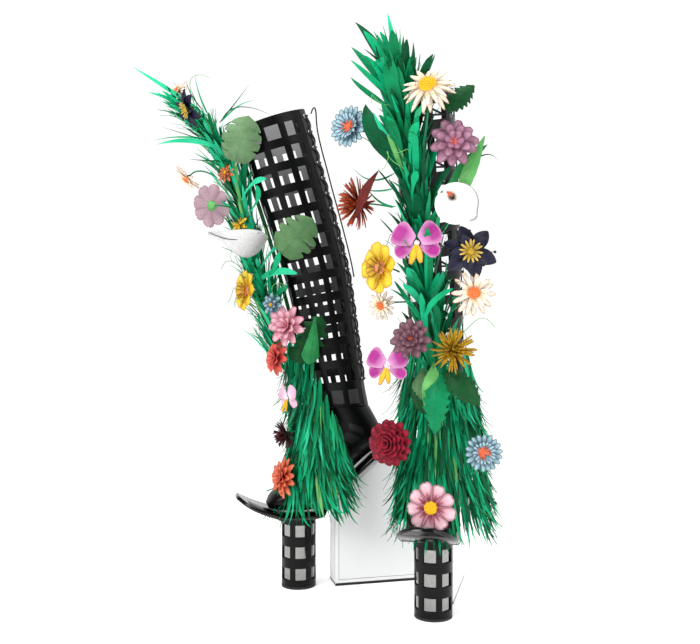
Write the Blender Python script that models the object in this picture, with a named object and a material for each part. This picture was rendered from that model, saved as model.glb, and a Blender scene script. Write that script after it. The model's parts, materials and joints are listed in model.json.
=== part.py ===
"""A pair of tall lace-up platform boots, dressed with leather grass and leather flowers.

Each boot is built in its own frame: u runs forward from the axis of the post under the ball of
the foot, w runs to the boot's left, and z runs up from the floor. An empty places that frame.
"""

import math

import bmesh
import bpy
from mathutils import Vector

# ---------------------------------------------------------------- where the two boots stand
LEFT_POST = (-0.0346, 0.1396)
LEFT_HEADING = math.radians(-166.4)
LEFT_SIDE_LEAN = 0.0
LEFT_POST_TURN = 28.4
LEFT_SKIRT_FLARE = 0.006
RIGHT_POST = (0.1899, -0.0214)
RIGHT_HEADING = math.radians(-104.2)
RIGHT_SIDE_LEAN = -0.020
RIGHT_POST_TURN = -3.0
RIGHT_SKIRT_FLARE = 0.045

GAP = 0.0003
CLEAR = 0.0006

# ---------------------------------------------------------------- post under the ball
POST_RADIUS = 0.0305
POST_TOP = 0.1248
TREAD_HEIGHT = 0.004
SLEEVE_WALL = 0.0020
CORE_RADIUS = POST_RADIUS - SLEEVE_WALL - CLEAR
CORE_WALL = 0.0025
POST_COLUMNS = 6
POST_ROWS = 3
POST_WINDOW_HEIGHT = 0.0210
POST_ROW_PITCH = 0.0380
POST_FIRST_WINDOW = 0.0150
BOLT_RADIUS = 0.0040
BOLT_HEAD_RADIUS = 0.0085

# ---------------------------------------------------------------- sole plate, (u, z) of its underside
SOLE_UNDERSIDE = (
    (0.1120, 0.1610), (0.1000, 0.1525), (0.0850, 0.1440), (0.0650, 0.1355), (0.0450, 0.1285),
    (0.0330, 0.1251), (-0.0330, 0.1251), (-0.0480, 0.1420), (-0.0730, 0.1700), (-0.1100, 0.2010),
    (-0.1350, 0.2230), (-0.1520, 0.2320), (-0.1690, 0.2370),
)
SOLE_HALF_WIDTHS = (
    0.0180, 0.0345, 0.0430, 0.0465, 0.0470, 0.0465, 0.0400, 0.0350, 0.0300, 0.0285,
    0.0300, 0.0290, 0.0150,
)
SOLE_THICKNESS = 0.0070
SHANK_WIDTH = 0.0120
SHANK_THICKNESS = 0.0014

# ---------------------------------------------------------------- panelled block under the heel
BLOCK_FRONT = -0.0620
BLOCK_BACK = -0.2280
BLOCK_HALF_WIDTH = 0.0240
PANEL_THICKNESS = 0.0025
BASE_HEIGHT = 0.0045
BLOCK_BACK_TOP = 0.2300

# ---------------------------------------------------------------- foot and shaft
# Each section is (back u, back z, front u, front z, half width).
FOOT_SECTIONS = (
    (0.0540, 0.1405, 0.0590, 0.1500, 0.0140),
    (0.0420, 0.1370, 0.0500, 0.1660, 0.0310),
    (0.0150, 0.1352, 0.0260, 0.1860, 0.0400),
    (-0.0260, 0.1365, 0.0080, 0.2050, 0.0420),
    (-0.0600, 0.1715, -0.0080, 0.2320, 0.0390),
    (-0.0980, 0.2065, -0.0180, 0.2620, 0.0360),
    (-0.1280, 0.2310, -0.0240, 0.2880, 0.0350),
    (-0.1560, 0.2490, -0.0270, 0.3040, 0.0360),
    (-0.1500, 0.2780, -0.0270, 0.3120, 0.0380),
    (-0.1290, 0.3170, -0.0250, 0.3190, 0.0405),
)
SHAFT_SECTIONS = (
    (-0.1290, 0.3195, -0.0250, 0.3200, 0.0405),
    (-0.1225, 0.3490, -0.0220, 0.3430, 0.0410),
    (-0.1130, 0.4100, -0.0085, 0.3950, 0.0430),
    (-0.1000, 0.5100, 0.0110, 0.4900, 0.0450),
    (-0.0850, 0.5900, 0.0300, 0.5630, 0.0460),
    (-0.0350, 0.7690, 0.0863, 0.7344, 0.0480),
    (-0.0120, 0.8470, 0.1105, 0.8040, 0.0480),
)
LEATHER = 0.0020
FOOTBED_LIFT = 0.0075
FOOTBED_THICKNESS = 0.0035
FOOTBED_SHARE = 0.36
SHAFT_COLUMNS = 7
SHAFT_ROWS = 12
WINDOW_SHARE = 0.67
SHAFT_WINDOW_HEIGHT = 0.0245
SHAFT_ROW_PITCH = 0.0397
SHAFT_RIM = 0.0160
# Shares of the half girth, from the front line (0) to the back line (1).
LATTICE_END = 0.770
FACING_START = 0.774
EYELET_LINE = 0.830
EYELET_HALF = 0.016
FACING_END = 0.876
EYELETS = 18
EYELET_PITCH = 0.0273
EYELET_HEIGHT = 0.0060
FIRST_EYELET = 0.0130

# ---------------------------------------------------------------- lacing
LACE_RADIUS = 0.00125
LACE_OUTSIDE = (0.0100, 0.0020)
LACE_INSIDE = (0.0042, 0.0010)
LOOSE_LACE = (
    (-0.0165, 0.0300, 0.8350), (-0.0200, 0.0275, 0.8440), (-0.0245, 0.0230, 0.8470),
    (-0.0275, 0.0190, 0.8400), (-0.0290, 0.0160, 0.8250), (-0.0320, 0.0140, 0.8050),
    (-0.0395, 0.0125, 0.7750), (-0.0480, 0.0120, 0.7450), (-0.0580, 0.0120, 0.7080),
    (-0.0680, 0.0130, 0.6720), (-0.0780, 0.0140, 0.6350), (-0.0875, 0.0130, 0.6000),
    (-0.0950, 0.0115, 0.5700), (-0.0990, 0.0100, 0.5500),
)
LOOSE_LACE_POINTS = 26

# ---------------------------------------------------------------- garland up the shin
SPINE_RADIUS = 0.0035
SPINE_POINTS = 14
SPINE_PATH = (
    (-0.0140, 0.0, 0.2700), (-0.0140, 0.0, 0.3300), (-0.0040, 0.0, 0.3900), (0.0080, 0.0, 0.4500),
    (0.0260, 0.0, 0.5200), (0.0480, 0.0, 0.6000), (0.0720, 0.0, 0.6750), (0.0960, 0.0, 0.7450),
)
# Each garland row is (u, w, z, half depth, half width).
LEFT_GARLAND = (
    (0.0270, 0.0, 0.3720, 0.0120, 0.0180), (0.0340, 0.0, 0.4000, 0.0190, 0.0270),
    (0.0450, 0.0, 0.4600, 0.0200, 0.0290), (0.0630, 0.0, 0.5350, 0.0200, 0.0290),
    (0.0880, 0.0, 0.6240, 0.0200, 0.0290), (0.1090, 0.0, 0.7000, 0.0200, 0.0280),
    (0.1400, 0.0, 0.7700, 0.0200, 0.0260), (0.1950, 0.0, 0.8300, 0.0170, 0.0220),
    (0.2380, 0.0, 0.8680, 0.0110, 0.0140), (0.2820, 0.0, 0.9030, 0.0020, 0.0020),
)
RIGHT_GARLAND = (
    (0.0270, 0.012, 0.3720, 0.0120, 0.0180), (0.0340, 0.010, 0.4000, 0.0190, 0.0270),
    (0.0450, 0.006, 0.4600, 0.0200, 0.0290), (0.0630, -0.002, 0.5350, 0.0200, 0.0290),
    (0.0880, -0.008, 0.6240, 0.0200, 0.0290), (0.1090, -0.014, 0.7000, 0.0200, 0.0290),
    (0.1320, -0.020, 0.7700, 0.0200, 0.0280), (0.1450, -0.028, 0.8200, 0.0190, 0.0250),
    (0.1560, -0.036, 0.8700, 0.0120, 0.0150), (0.1620, -0.044, 0.9090, 0.0020, 0.0020),
)
# Each skirt row is (z, centre u, half depth, half width) of its inner face.
SKIRT_ROWS = (
    (0.3550, -0.0660, 0.0640, 0.0540), (0.3000, -0.0620, 0.0600, 0.0560),
    (0.2400, -0.0480, 0.0580, 0.0580), (0.1700, -0.0300, 0.0600, 0.0600),
)
SKIRT_THICKNESS = 0.0100
SKIRT_TOP = 0.3550
SKIRT_FRONT_END = 0.2360
SKIRT_SIDE_END = 0.1720
SKIRT_ANGLES = (-70.0, 115.0)
SKIRT_COLUMNS = 11

STEM_RADIUS = 0.0015
# Each flower is (name, root, head centre, facing, head radius, head depth, colour).
LEFT_FLOWERS = (
    ("navy_flower", (0.182, 0.030, 0.795), (0.197, 0.056, 0.824), (0.86, 0.20, -0.40), 0.0220, 0.008, "navy"),
    ("pink_cosmos", (0.118, 0.030, 0.665), (0.150, 0.040, 0.668), (0.50, -0.85, 0.05), 0.0320, 0.007, "pink"),
    ("calla", (0.078, 0.036, 0.590), (0.120, 0.052, 0.602), (0.25, 0.35, 0.90), 0.0260, 0.026, "white"),
    ("yellow_flower", (0.072, 0.026, 0.520), (0.094, 0.022, 0.523), (0.93, 0.30, 0.05), 0.0200, 0.008, "yellow"),
    ("pink_dahlia", (0.046, 0.036, 0.452), (0.030, 0.064, 0.462), (0.45, 0.85, 0.10), 0.0270, 0.012, "pink"),
    ("orchid", (0.010, 0.056, 0.330), (0.030, 0.072, 0.340), (0.80, 0.50, 0.00), 0.0190, 0.006, "lilac"),
    ("orange_dahlia", (0.0600, 0.012, 0.1720), (0.0340, 0.040, 0.2000), (0.60, 0.70, 0.25), 0.0200, 0.010, "coral"),
)
RIGHT_FLOWERS = (
    ("cream_daisy", (0.160, 0.012, 0.790), (0.181, 0.020, 0.796), (0.88, 0.00, 0.42), 0.0310, 0.009, "cream"),
    ("blue_daisy", (0.140, -0.056, 0.742), (0.130, -0.104, 0.757), (0.85, -0.35, 0.05), 0.0250, 0.010, "blue"),
    ("lilac_dahlia", (0.128, 0.022, 0.716), (0.150, 0.052, 0.722), (0.90, 0.25, 0.10), 0.0330, 0.012, "lilac"),
    ("calla", (0.112, 0.028, 0.630), (0.150, 0.043, 0.640), (0.90, 0.15, 0.30), 0.0300, 0.022, "white"),
    ("red_flower", (0.106, -0.046, 0.640), (0.100, -0.088, 0.650), (0.60, -0.55, 0.10), 0.0260, 0.014, "red"),
    ("magenta_orchid", (0.104, 0.000, 0.560), (0.130, -0.004, 0.583), (0.95, 0.05, 0.10), 0.0360, 0.006, "magenta"),
    ("yellow_flower", (0.078, -0.040, 0.545), (0.104, -0.062, 0.550), (0.75, -0.60, 0.00), 0.0310, 0.010, "yellow"),
    ("navy_flower", (0.082, 0.038, 0.565), (0.098, 0.070, 0.572), (0.90, 0.20, 0.10), 0.0380, 0.008, "navy"),
    ("low_orchid", (0.048, -0.032, 0.432), (0.084, -0.057, 0.402), (0.90, -0.15, 0.00), 0.0310, 0.006, "magenta"),
    ("red_dahlia", (0.000, -0.042, 0.300), (0.058, -0.060, 0.282), (0.90, -0.20, 0.10), 0.0360, 0.018, "red"),
)
STEM_RINGS = 5
FLOWER_SIDES = 8

COLOURS = {
    "leather": ((0.012, 0.012, 0.013), 0.30, 0.0),
    "gloss": ((0.008, 0.008, 0.009), 0.12, 0.0),
    "mirror": ((0.86, 0.87, 0.88), 0.03, 1.0),
    "panel": ((0.820, 0.820, 0.830), 0.30, 0.0),
    "steel": ((0.55, 0.55, 0.56), 0.30, 1.0),
    "cork": ((0.42, 0.28, 0.16), 0.80, 0.0),
    "rubber": ((0.015, 0.015, 0.016), 0.70, 0.0),
    "cord": ((0.010, 0.010, 0.011), 0.55, 0.0),
    "green": ((0.010, 0.230, 0.085), 0.50, 0.0),
    "navy": ((0.006, 0.006, 0.035), 0.50, 0.0),
    "pink": ((0.620, 0.260, 0.340), 0.50, 0.0),
    "white": ((0.800, 0.790, 0.770), 0.40, 0.0),
    "yellow": ((0.800, 0.500, 0.030), 0.50, 0.0),
    "lilac": ((0.480, 0.250, 0.330), 0.50, 0.0),
    "coral": ((0.700, 0.140, 0.060), 0.50, 0.0),
    "cream": ((0.780, 0.640, 0.450), 0.50, 0.0),
    "blue": ((0.300, 0.480, 0.560), 0.50, 0.0),
    "red": ((0.300, 0.012, 0.020), 0.50, 0.0),
    "magenta": ((0.480, 0.020, 0.300), 0.50, 0.0),
}


# ---------------------------------------------------------------- general helpers
def clear_scene():
    for thing in list(bpy.data.objects):
        bpy.data.objects.remove(thing, do_unlink=True)


def material(kind, name):
    colour, roughness, metallic = COLOURS[kind]
    made = bpy.data.materials.new(name)
    made.use_nodes = True
    shader = made.node_tree.nodes["Principled BSDF"]
    shader.inputs["Base Color"].default_value = (*colour, 1.0)
    shader.inputs["Roughness"].default_value = roughness
    shader.inputs["Metallic"].default_value = metallic
    return made


def add_object(name, data, kind, parent, location=(0.0, 0.0, 0.0)):
    made = bpy.data.objects.new(name, data)
    made.parent = parent
    made.location = location
    data.materials.append(material(kind, name))
    bpy.context.scene.collection.objects.link(made)
    return made


def add_mesh(name, points, faces, kind, parent, location=(0.0, 0.0, 0.0)):
    """A closed mesh, with its points given in the boot's frame and its origin at location."""
    start = Vector(location)
    mesh = bpy.data.meshes.new(name)
    mesh.from_pydata([Vector(point) - start for point in points], [], faces)
    shape = bmesh.new()
    shape.from_mesh(mesh)
    bmesh.ops.recalc_face_normals(shape, faces=shape.faces)
    shape.to_mesh(mesh)
    shape.free()
    mesh.shade_smooth()
    mesh.set_sharp_from_angle(angle=math.radians(35.0))
    return add_object(name, mesh, kind, parent, location)


def empty(name, place, heading):
    made = bpy.data.objects.new(name, None)
    made.location = (place[0], place[1], 0.0)
    made.rotation_euler = (0.0, 0.0, heading)
    bpy.context.scene.collection.objects.link(made)
    return made


def smooth_row(rows, share):
    """Values at a share from 0 to 1 along rows of numbers, on a Catmull-Rom curve through them."""
    last = len(rows) - 1
    where = min(max(share, 0.0), 1.0) * last
    index = min(int(where), last - 1)
    t = where - index
    before = rows[max(index - 1, 0)]
    after = rows[min(index + 2, last)]
    found = []
    for p0, p1, p2, p3 in zip(before, rows[index], rows[index + 1], after):
        bend = (2 * p0 - 5 * p1 + 4 * p2 - p3) * t * t + (3 * p1 - p0 - 3 * p2 + p3) * t ** 3
        found.append(0.5 * (2 * p1 + (p2 - p0) * t + bend))
    return found


def even_path(points, count):
    """Points at even distances along a smooth curve through the given points."""
    fine = [Vector(smooth_row(points, i / 400)) for i in range(401)]
    length = [0.0]
    for one, two in zip(fine, fine[1:]):
        length.append(length[-1] + (two - one).length)
    made = []
    k = 0
    for i in range(count):
        target = length[-1] * i / (count - 1)
        while k < 399 and length[k + 1] < target:
            k += 1
        share = (target - length[k]) / (length[k + 1] - length[k])
        made.append(fine[k].lerp(fine[k + 1], min(share, 1.0)))
    return made


def loft(rings):
    """A closed body through rings of equal length, with a flat cap on each end."""
    count = len(rings[0])
    points = [point for ring in rings for point in ring]
    faces = [tuple(reversed(range(count)))]
    for row in range(len(rings) - 1):
        low = row * count
        high = low + count
        for i in range(count):
            j = (i + 1) % count
            faces.append((low + i, low + j, high + j, high + i))
    top = (len(rings) - 1) * count
    faces.append(tuple(range(top, top + count)))
    return points, faces


def pierced_sheet(outer, inner, is_solid, wraps):
    """A sheet between two grids of points, left open at the cells that is_solid turns down."""
    rows = len(outer) - 1
    columns = len(outer[0]) if wraps else len(outer[0]) - 1
    width = len(outer[0])
    size = len(outer) * width
    points = [point for row in outer for point in row] + [point for row in inner for point in row]

    def at(row, column, side):
        return side * size + row * width + column % width

    def kept(row, column):
        if not 0 <= row < rows:
            return False
        if wraps:
            column %= columns
        elif not 0 <= column < columns:
            return False
        return is_solid(row, column)

    faces = []
    for row in range(rows):
        for column in range(columns):
            if not kept(row, column):
                continue
            corners = ((row, column), (row, column + 1), (row + 1, column + 1), (row + 1, column))
            beside = ((row - 1, column), (row, column + 1), (row + 1, column), (row, column - 1))
            faces.append(tuple(at(r, c, 0) for r, c in corners))
            faces.append(tuple(at(r, c, 1) for r, c in reversed(corners)))
            for edge in range(4):
                if not kept(*beside[edge]):
                    one = corners[edge]
                    two = corners[(edge + 1) % 4]
                    faces.append((at(*two, 0), at(*one, 0), at(*one, 1), at(*two, 1)))
    used = sorted({index for face in faces for index in face})
    renumbered = {old: new for new, old in enumerate(used)}
    faces = [tuple(renumbered[index] for index in face) for face in faces]
    return [points[index] for index in used], faces


def disc_ring(radius, z, sides):
    return [
        Vector((radius * math.cos(turn), radius * math.sin(turn), z))
        for turn in (2 * math.pi * i / sides for i in range(sides))
    ]


# ---------------------------------------------------------------- the sections of foot and shaft
def section_point(section, angle, inset, side_lean):
    """A point on a section's ellipse: angle 0 is the front line, 90 degrees the boot's left."""
    back = Vector((section[0], 0.0, section[1]))
    front = Vector((section[2], 0.0, section[3]))
    centre = (back + front) / 2
    half = (front - back).length / 2 - inset
    along = (front - back).normalized()
    width = section[4] - inset
    point = centre + along * half * math.cos(angle) + Vector((0.0, width * math.sin(angle), 0.0))
    point.y += side_lean * max(point.z - SHAFT_SECTIONS[0][1], 0.0)
    return point


def girth_angle(section, share):
    """The ellipse angle at a share of the half girth, from the front line to the back line."""
    half = math.hypot(section[2] - section[0], section[3] - section[1]) / 2
    steps = 180
    lengths = [0.0]
    for i in range(steps):
        angle = math.pi * (i + 0.5) / steps
        lengths.append(lengths[-1] + math.hypot(half * math.sin(angle), section[4] * math.cos(angle)))
    target = abs(share) * lengths[-1]
    k = 0
    while k < steps - 1 and lengths[k + 1] < target:
        k += 1
    part = (target - lengths[k]) / (lengths[k + 1] - lengths[k])
    return math.copysign(math.pi * (k + part) / steps, share)


def shaft_table():
    """Distance along the shaft's centre line against the share along its sections."""
    steps = 200
    table = [(0.0, 0.0)]
    before = None
    for i in range(steps + 1):
        row = smooth_row(SHAFT_SECTIONS, i / steps)
        centre = Vector(((row[0] + row[2]) / 2, (row[1] + row[3]) / 2))
        if before is not None:
            table.append((table[-1][0] + (centre - before).length, i / steps))
        before = centre
    return table


SHAFT_TABLE = shaft_table()
SHAFT_LENGTH = SHAFT_TABLE[-1][0]


def shaft_section(distance):
    """The shaft's section at a distance down from its rim, along the centre line."""
    target = SHAFT_LENGTH - distance
    k = 0
    while k < len(SHAFT_TABLE) - 2 and SHAFT_TABLE[k + 1][0] < target:
        k += 1
    low, high = SHAFT_TABLE[k], SHAFT_TABLE[k + 1]
    part = (target - low[0]) / (high[0] - low[0])
    return smooth_row(SHAFT_SECTIONS, low[1] + part * (high[1] - low[1]))


# ---------------------------------------------------------------- post
def build_post(prefix, parent, turned):
    tread = loft([disc_ring(POST_RADIUS, z, 32) for z in (0.0, TREAD_HEIGHT)])
    add_mesh(f"{prefix}_post_tread", *tread, "rubber", parent)

    bottom = TREAD_HEIGHT + GAP
    angles = []
    for column in range(POST_COLUMNS):
        middle = 360.0 / POST_COLUMNS * column + turned
        angles += [middle - 20.5, middle - 7.0, middle + 7.0, middle + 20.5]
    levels = [bottom]
    for row in range(POST_ROWS):
        low = POST_FIRST_WINDOW + POST_ROW_PITCH * row
        levels += [low, low + POST_WINDOW_HEIGHT]
    levels.append(POST_TOP)

    def wall(radius):
        turns = [math.radians(angle) for angle in angles]
        return [
            [Vector((radius * math.cos(turn), radius * math.sin(turn), z)) for turn in turns]
            for z in levels
        ]

    def is_solid(row, column):
        return row % 2 == 0 or column % 4 == 3

    sleeve = pierced_sheet(wall(POST_RADIUS), wall(POST_RADIUS - SLEEVE_WALL), is_solid, True)
    add_mesh(f"{prefix}_post_sleeve", *sleeve, "leather", parent)

    outside = [disc_ring(CORE_RADIUS, z, 32) for z in (bottom, POST_TOP)]
    inside = [disc_ring(CORE_RADIUS - CORE_WALL, z, 32) for z in (bottom, POST_TOP)]
    core = pierced_sheet(outside, inside, lambda row, column: True, True)
    add_mesh(f"{prefix}_post_core", *core, "mirror", parent)

    head = bottom + 0.006
    bolt = loft([
        disc_ring(BOLT_HEAD_RADIUS, bottom, 12), disc_ring(BOLT_HEAD_RADIUS, head, 12),
        disc_ring(BOLT_RADIUS, head, 12), disc_ring(BOLT_RADIUS, POST_TOP, 12),
    ])
    add_mesh(f"{prefix}_post_bolt", *bolt, "steel", parent)


# ---------------------------------------------------------------- sole
def sole_normals():
    made = []
    last = len(SOLE_UNDERSIDE) - 1
    for i in range(last + 1):
        before = SOLE_UNDERSIDE[max(i - 1, 0)]
        after = SOLE_UNDERSIDE[min(i + 1, last)]
        slope = Vector((before[0] - after[0], before[1] - after[1])).normalized()
        made.append(Vector((-slope.y, slope.x)))
    return made


def build_sole(prefix, parent):
    normals = sole_normals()
    rings = []
    for (u, z), half, normal in zip(SOLE_UNDERSIDE, SOLE_HALF_WIDTHS, normals):
        ring = []
        for w, lift in ((-half, 0.0), (half, 0.0), (half, SOLE_THICKNESS), (-half, SOLE_THICKNESS)):
            ring.append(Vector((u + normal.x * lift, w, z + normal.y * lift)))
        rings.append(ring)
    add_mesh(f"{prefix}_sole_plate", *loft(rings), "gloss", parent)

    low = SOLE_THICKNESS + GAP
    rings = []
    for (u, z), normal in list(zip(SOLE_UNDERSIDE, normals))[6:12]:
        ring = []
        half = SHANK_WIDTH / 2
        high = low + SHANK_THICKNESS
        for w, lift in ((-half, low), (half, low), (half, high), (-half, high)):
            ring.append(Vector((u + normal.x * lift, w, z + normal.y * lift)))
        rings.append(ring)
    add_mesh(f"{prefix}_shank", *loft(rings), "steel", parent)


# ---------------------------------------------------------------- panelled block
def sole_height(u):
    """The height of the sole plate's underside at u."""
    for (u0, z0), (u1, z1) in zip(SOLE_UNDERSIDE, SOLE_UNDERSIDE[1:]):
        if u1 <= u <= u0:
            return z0 + (z1 - z0) * (u0 - u) / (u0 - u1)
    return BLOCK_BACK_TOP


def block_outline(front, back, bottom, drop):
    """The block's side outline as (u, z), clockwise from its bottom front corner."""
    corners = [(front, bottom), (front, sole_height(front) - drop)]
    corners += [(u, z - drop) for u, z in SOLE_UNDERSIDE if back < u < front and z < BLOCK_BACK_TOP]
    reach = SOLE_UNDERSIDE[-2][0] + 0.0015
    corners += [(reach, BLOCK_BACK_TOP - drop), (back, BLOCK_BACK_TOP - drop), (back, bottom)]
    return corners


def slab(outline, low, high):
    return loft([[Vector((u, w, z)) for u, z in outline] for w in (low, high)])


def build_block(prefix, parent):
    base = [(BLOCK_FRONT, 0.0), (BLOCK_FRONT, BASE_HEIGHT), (BLOCK_BACK, BASE_HEIGHT), (BLOCK_BACK, 0.0)]
    add_mesh(f"{prefix}_block_base", *slab(base, -BLOCK_HALF_WIDTH, BLOCK_HALF_WIDTH), "gloss", parent)

    bottom = BASE_HEIGHT + GAP
    skin = PANEL_THICKNESS
    core_half = BLOCK_HALF_WIDTH - skin - GAP
    core_front = BLOCK_FRONT - skin - GAP
    core_back = BLOCK_BACK + skin + GAP
    core = block_outline(core_front, core_back, bottom, CLEAR)
    add_mesh(f"{prefix}_block_core", *slab(core, -core_half, core_half), "cork", parent)

    side = block_outline(BLOCK_FRONT, BLOCK_BACK, bottom, CLEAR)
    left = slab(side, BLOCK_HALF_WIDTH - skin, BLOCK_HALF_WIDTH)
    add_mesh(f"{prefix}_panel_left", *left, "panel", parent)
    right = slab(side, -BLOCK_HALF_WIDTH, skin - BLOCK_HALF_WIDTH)
    add_mesh(f"{prefix}_panel_right", *right, "panel", parent)

    low_front = sole_height(BLOCK_FRONT) - CLEAR
    inner = BLOCK_FRONT - skin
    front = [(BLOCK_FRONT, bottom), (BLOCK_FRONT, low_front), (inner, low_front), (inner, bottom)]
    add_mesh(f"{prefix}_panel_front", *slab(front, -core_half, core_half), "panel", parent)
    top = BLOCK_BACK_TOP - CLEAR
    inner = BLOCK_BACK + skin
    back = [(inner, bottom), (inner, top), (BLOCK_BACK, top), (BLOCK_BACK, bottom)]
    add_mesh(f"{prefix}_panel_back", *slab(back, -core_half, core_half), "panel", parent)


# ---------------------------------------------------------------- foot upper and footbed
def foot_ring(section, inset, sides=16):
    return [section_point(section, 2 * math.pi * i / sides, inset, 0.0) for i in range(sides)]


def build_foot(prefix, parent):
    outside = [foot_ring(section, 0.0) for section in FOOT_SECTIONS]
    inside = [foot_ring(section, LEATHER) for section in FOOT_SECTIONS]
    last = Vector((LEATHER, 0.0, 0.0))
    inside[0] = [point - last for point in inside[0]]
    add_mesh(f"{prefix}_upper", *loft(outside + inside[::-1]), "leather", parent)

    rings = []
    for section in FOOT_SECTIONS[1:8]:
        back = Vector((section[0], 0.0, section[1]))
        along = (Vector((section[2], 0.0, section[3])) - back).normalized()
        base = back + along * (LEATHER + FOOTBED_LIFT)
        top = base + along * FOOTBED_THICKNESS
        half = section[4] * FOOTBED_SHARE
        shift = Vector((0.0, half, 0.0))
        rings.append([base - shift, base + shift, top + shift, top - shift])
    add_mesh(f"{prefix}_footbed", *loft(rings), "cork", parent)


# ---------------------------------------------------------------- lattice shaft, facings and lacing
def far_shift(distance, share):
    """How much lower the window rows lie on the boot's right side than on its left."""
    turn = min(max(0.5 - share / 0.30, 0.0), 1.0)
    last = SHAFT_RIM + SHAFT_ROW_PITCH * (SHAFT_ROWS - 1) + SHAFT_WINDOW_HEIGHT
    below = (SHAFT_LENGTH - distance) / (SHAFT_LENGTH - last)
    fade = max(min(distance / SHAFT_RIM, below, 1.0), 0.0)
    return SHAFT_ROW_PITCH / 2 * turn * turn * (3 - 2 * turn) * fade


def shaft_grid(distances, shares, side_lean, inset, shifted):
    grid = []
    for distance in distances:
        row = []
        for share in shares:
            lower = far_shift(distance, share) if shifted else 0.0
            section = shaft_section(distance + lower)
            angle = girth_angle(section, share)
            row.append(section_point(section, angle, inset, side_lean))
        grid.append(row)
    return grid


def build_shaft(prefix, parent, side_lean):
    pitch = 2 * LATTICE_END / (SHAFT_COLUMNS + (1 - WINDOW_SHARE))
    strip = pitch * (1 - WINDOW_SHARE)
    shares = [-LATTICE_END]
    for _ in range(SHAFT_COLUMNS):
        shares += [shares[-1] + strip, shares[-1] + pitch]
    shares.append(LATTICE_END)

    distances = [0.0]
    for row in range(SHAFT_ROWS):
        top = SHAFT_RIM + SHAFT_ROW_PITCH * row
        distances += [top, top + SHAFT_WINDOW_HEIGHT]
    distances.append(SHAFT_LENGTH)
    distances.reverse()

    def is_solid(row, column):
        return row % 2 == 0 or column % 2 == 0

    outer = shaft_grid(distances, shares, side_lean, 0.0, True)
    inner = shaft_grid(distances, shares, side_lean, LEATHER, True)
    add_mesh(f"{prefix}_shaft", *pierced_sheet(outer, inner, is_solid, False), "leather", parent)

    distances = [0.0]
    for row in range(EYELETS):
        top = FIRST_EYELET + EYELET_PITCH * row - EYELET_HEIGHT / 2
        distances += [top, top + EYELET_HEIGHT]
    distances.append(SHAFT_LENGTH)
    distances.reverse()

    def is_facing(row, column):
        return row % 2 == 0 or column != 1

    steps = [FACING_START, EYELET_LINE - EYELET_HALF, EYELET_LINE + EYELET_HALF, FACING_END]
    for side, shares in (("left", steps), ("right", [-share for share in reversed(steps)])):
        outer = shaft_grid(distances, shares, side_lean, 0.0, False)
        inner = shaft_grid(distances, shares, side_lean, LEATHER, False)
        sheet = pierced_sheet(outer, inner, is_facing, False)
        add_mesh(f"{prefix}_facing_{side}", *sheet, "leather", parent)


def lace_route(side_lean):
    """One lace: across the back on the outside at each row of eyelets, down it on the inside."""
    route = []
    for row in range(EYELETS):
        section = shaft_section(FIRST_EYELET + EYELET_PITCH * row)
        angle = girth_angle(section, EYELET_LINE)
        hole = section_point(section, angle, LEATHER / 2, side_lean)
        middle = side_lean * max(hole.z - SHAFT_SECTIONS[0][1], 0.0)
        across = hole.y - middle
        backward = Vector((section[0] - section[2], 0.0, section[1] - section[3])).normalized()
        outside = hole + backward * LACE_OUTSIDE[0]
        inside = hole - backward * LACE_INSIDE[0]
        for point, w in (
            (inside, across - LACE_INSIDE[1]), (outside, across + LACE_OUTSIDE[1]),
            (outside, -across - LACE_OUTSIDE[1]), (inside, -across + LACE_INSIDE[1]),
        ):
            route.append(Vector((point.x, middle + w, point.z)))
    return route


def add_tube(name, points, radius, kind, parent):
    curve = bpy.data.curves.new(name, "CURVE")
    curve.dimensions = "3D"
    curve.bevel_depth = radius
    curve.bevel_resolution = 2
    curve.use_fill_caps = True
    spline = curve.splines.new("POLY")
    spline.points.add(len(points) - 1)
    for slot, point in zip(spline.points, points):
        slot.co = (*point, 1.0)
    add_object(name, curve, kind, parent)


# ---------------------------------------------------------------- garland
def build_garland(prefix, parent, garland, flare):
    rings = []
    count = len(garland)
    for i, (u, w, z, depth, width) in enumerate(garland):
        before = Vector(garland[max(i - 1, 0)][:3])
        after = Vector(garland[min(i + 1, count - 1)][:3])
        along = (after - before).normalized()
        side = Vector((0.0, 1.0, 0.0))
        front = side.cross(along).normalized()
        side = along.cross(front)
        centre = Vector((u, w, z))
        ring = []
        for k in range(12):
            turn = 2 * math.pi * k / 12
            ring.append(centre + front * depth * math.cos(turn) + side * width * math.sin(turn))
        rings.append(ring)
    add_mesh(f"{prefix}_grass_plume", *loft(rings), "green", parent)

    turns = [
        math.radians(SKIRT_ANGLES[0] + (SKIRT_ANGLES[1] - SKIRT_ANGLES[0]) * i / (SKIRT_COLUMNS - 1))
        for i in range(SKIRT_COLUMNS)
    ]

    def skirt_point(turn, share, out):
        end_height = SKIRT_SIDE_END + (SKIRT_FRONT_END - SKIRT_SIDE_END) * max(math.cos(turn), 0.0) ** 2
        z = SKIRT_TOP + (end_height - SKIRT_TOP) * share
        rows = SKIRT_ROWS
        k = 0
        while k < len(rows) - 2 and rows[k + 1][0] > z:
            k += 1
        part = (rows[k][0] - z) / (rows[k][0] - rows[k + 1][0])
        centre, depth, width = [
            rows[k][i] + (rows[k + 1][i] - rows[k][i]) * part for i in (1, 2, 3)
        ]
        if turn > 0:
            width += flare * share ** 2
        return Vector((centre + (depth + out) * math.cos(turn), (width + out) * math.sin(turn), z))

    shares = [i / 4 for i in range(5)][::-1]
    outer = [[skirt_point(turn, share, SKIRT_THICKNESS) for turn in turns] for share in shares]
    inner = [[skirt_point(turn, share, 0.0) for turn in turns] for share in shares]
    skirt = pierced_sheet(outer, inner, lambda row, column: True, False)
    add_mesh(f"{prefix}_grass_skirt", *skirt, "green", parent)

    add_tube(f"{prefix}_garland_spine", even_path(SPINE_PATH, SPINE_POINTS), SPINE_RADIUS, "steel", parent)


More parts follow.
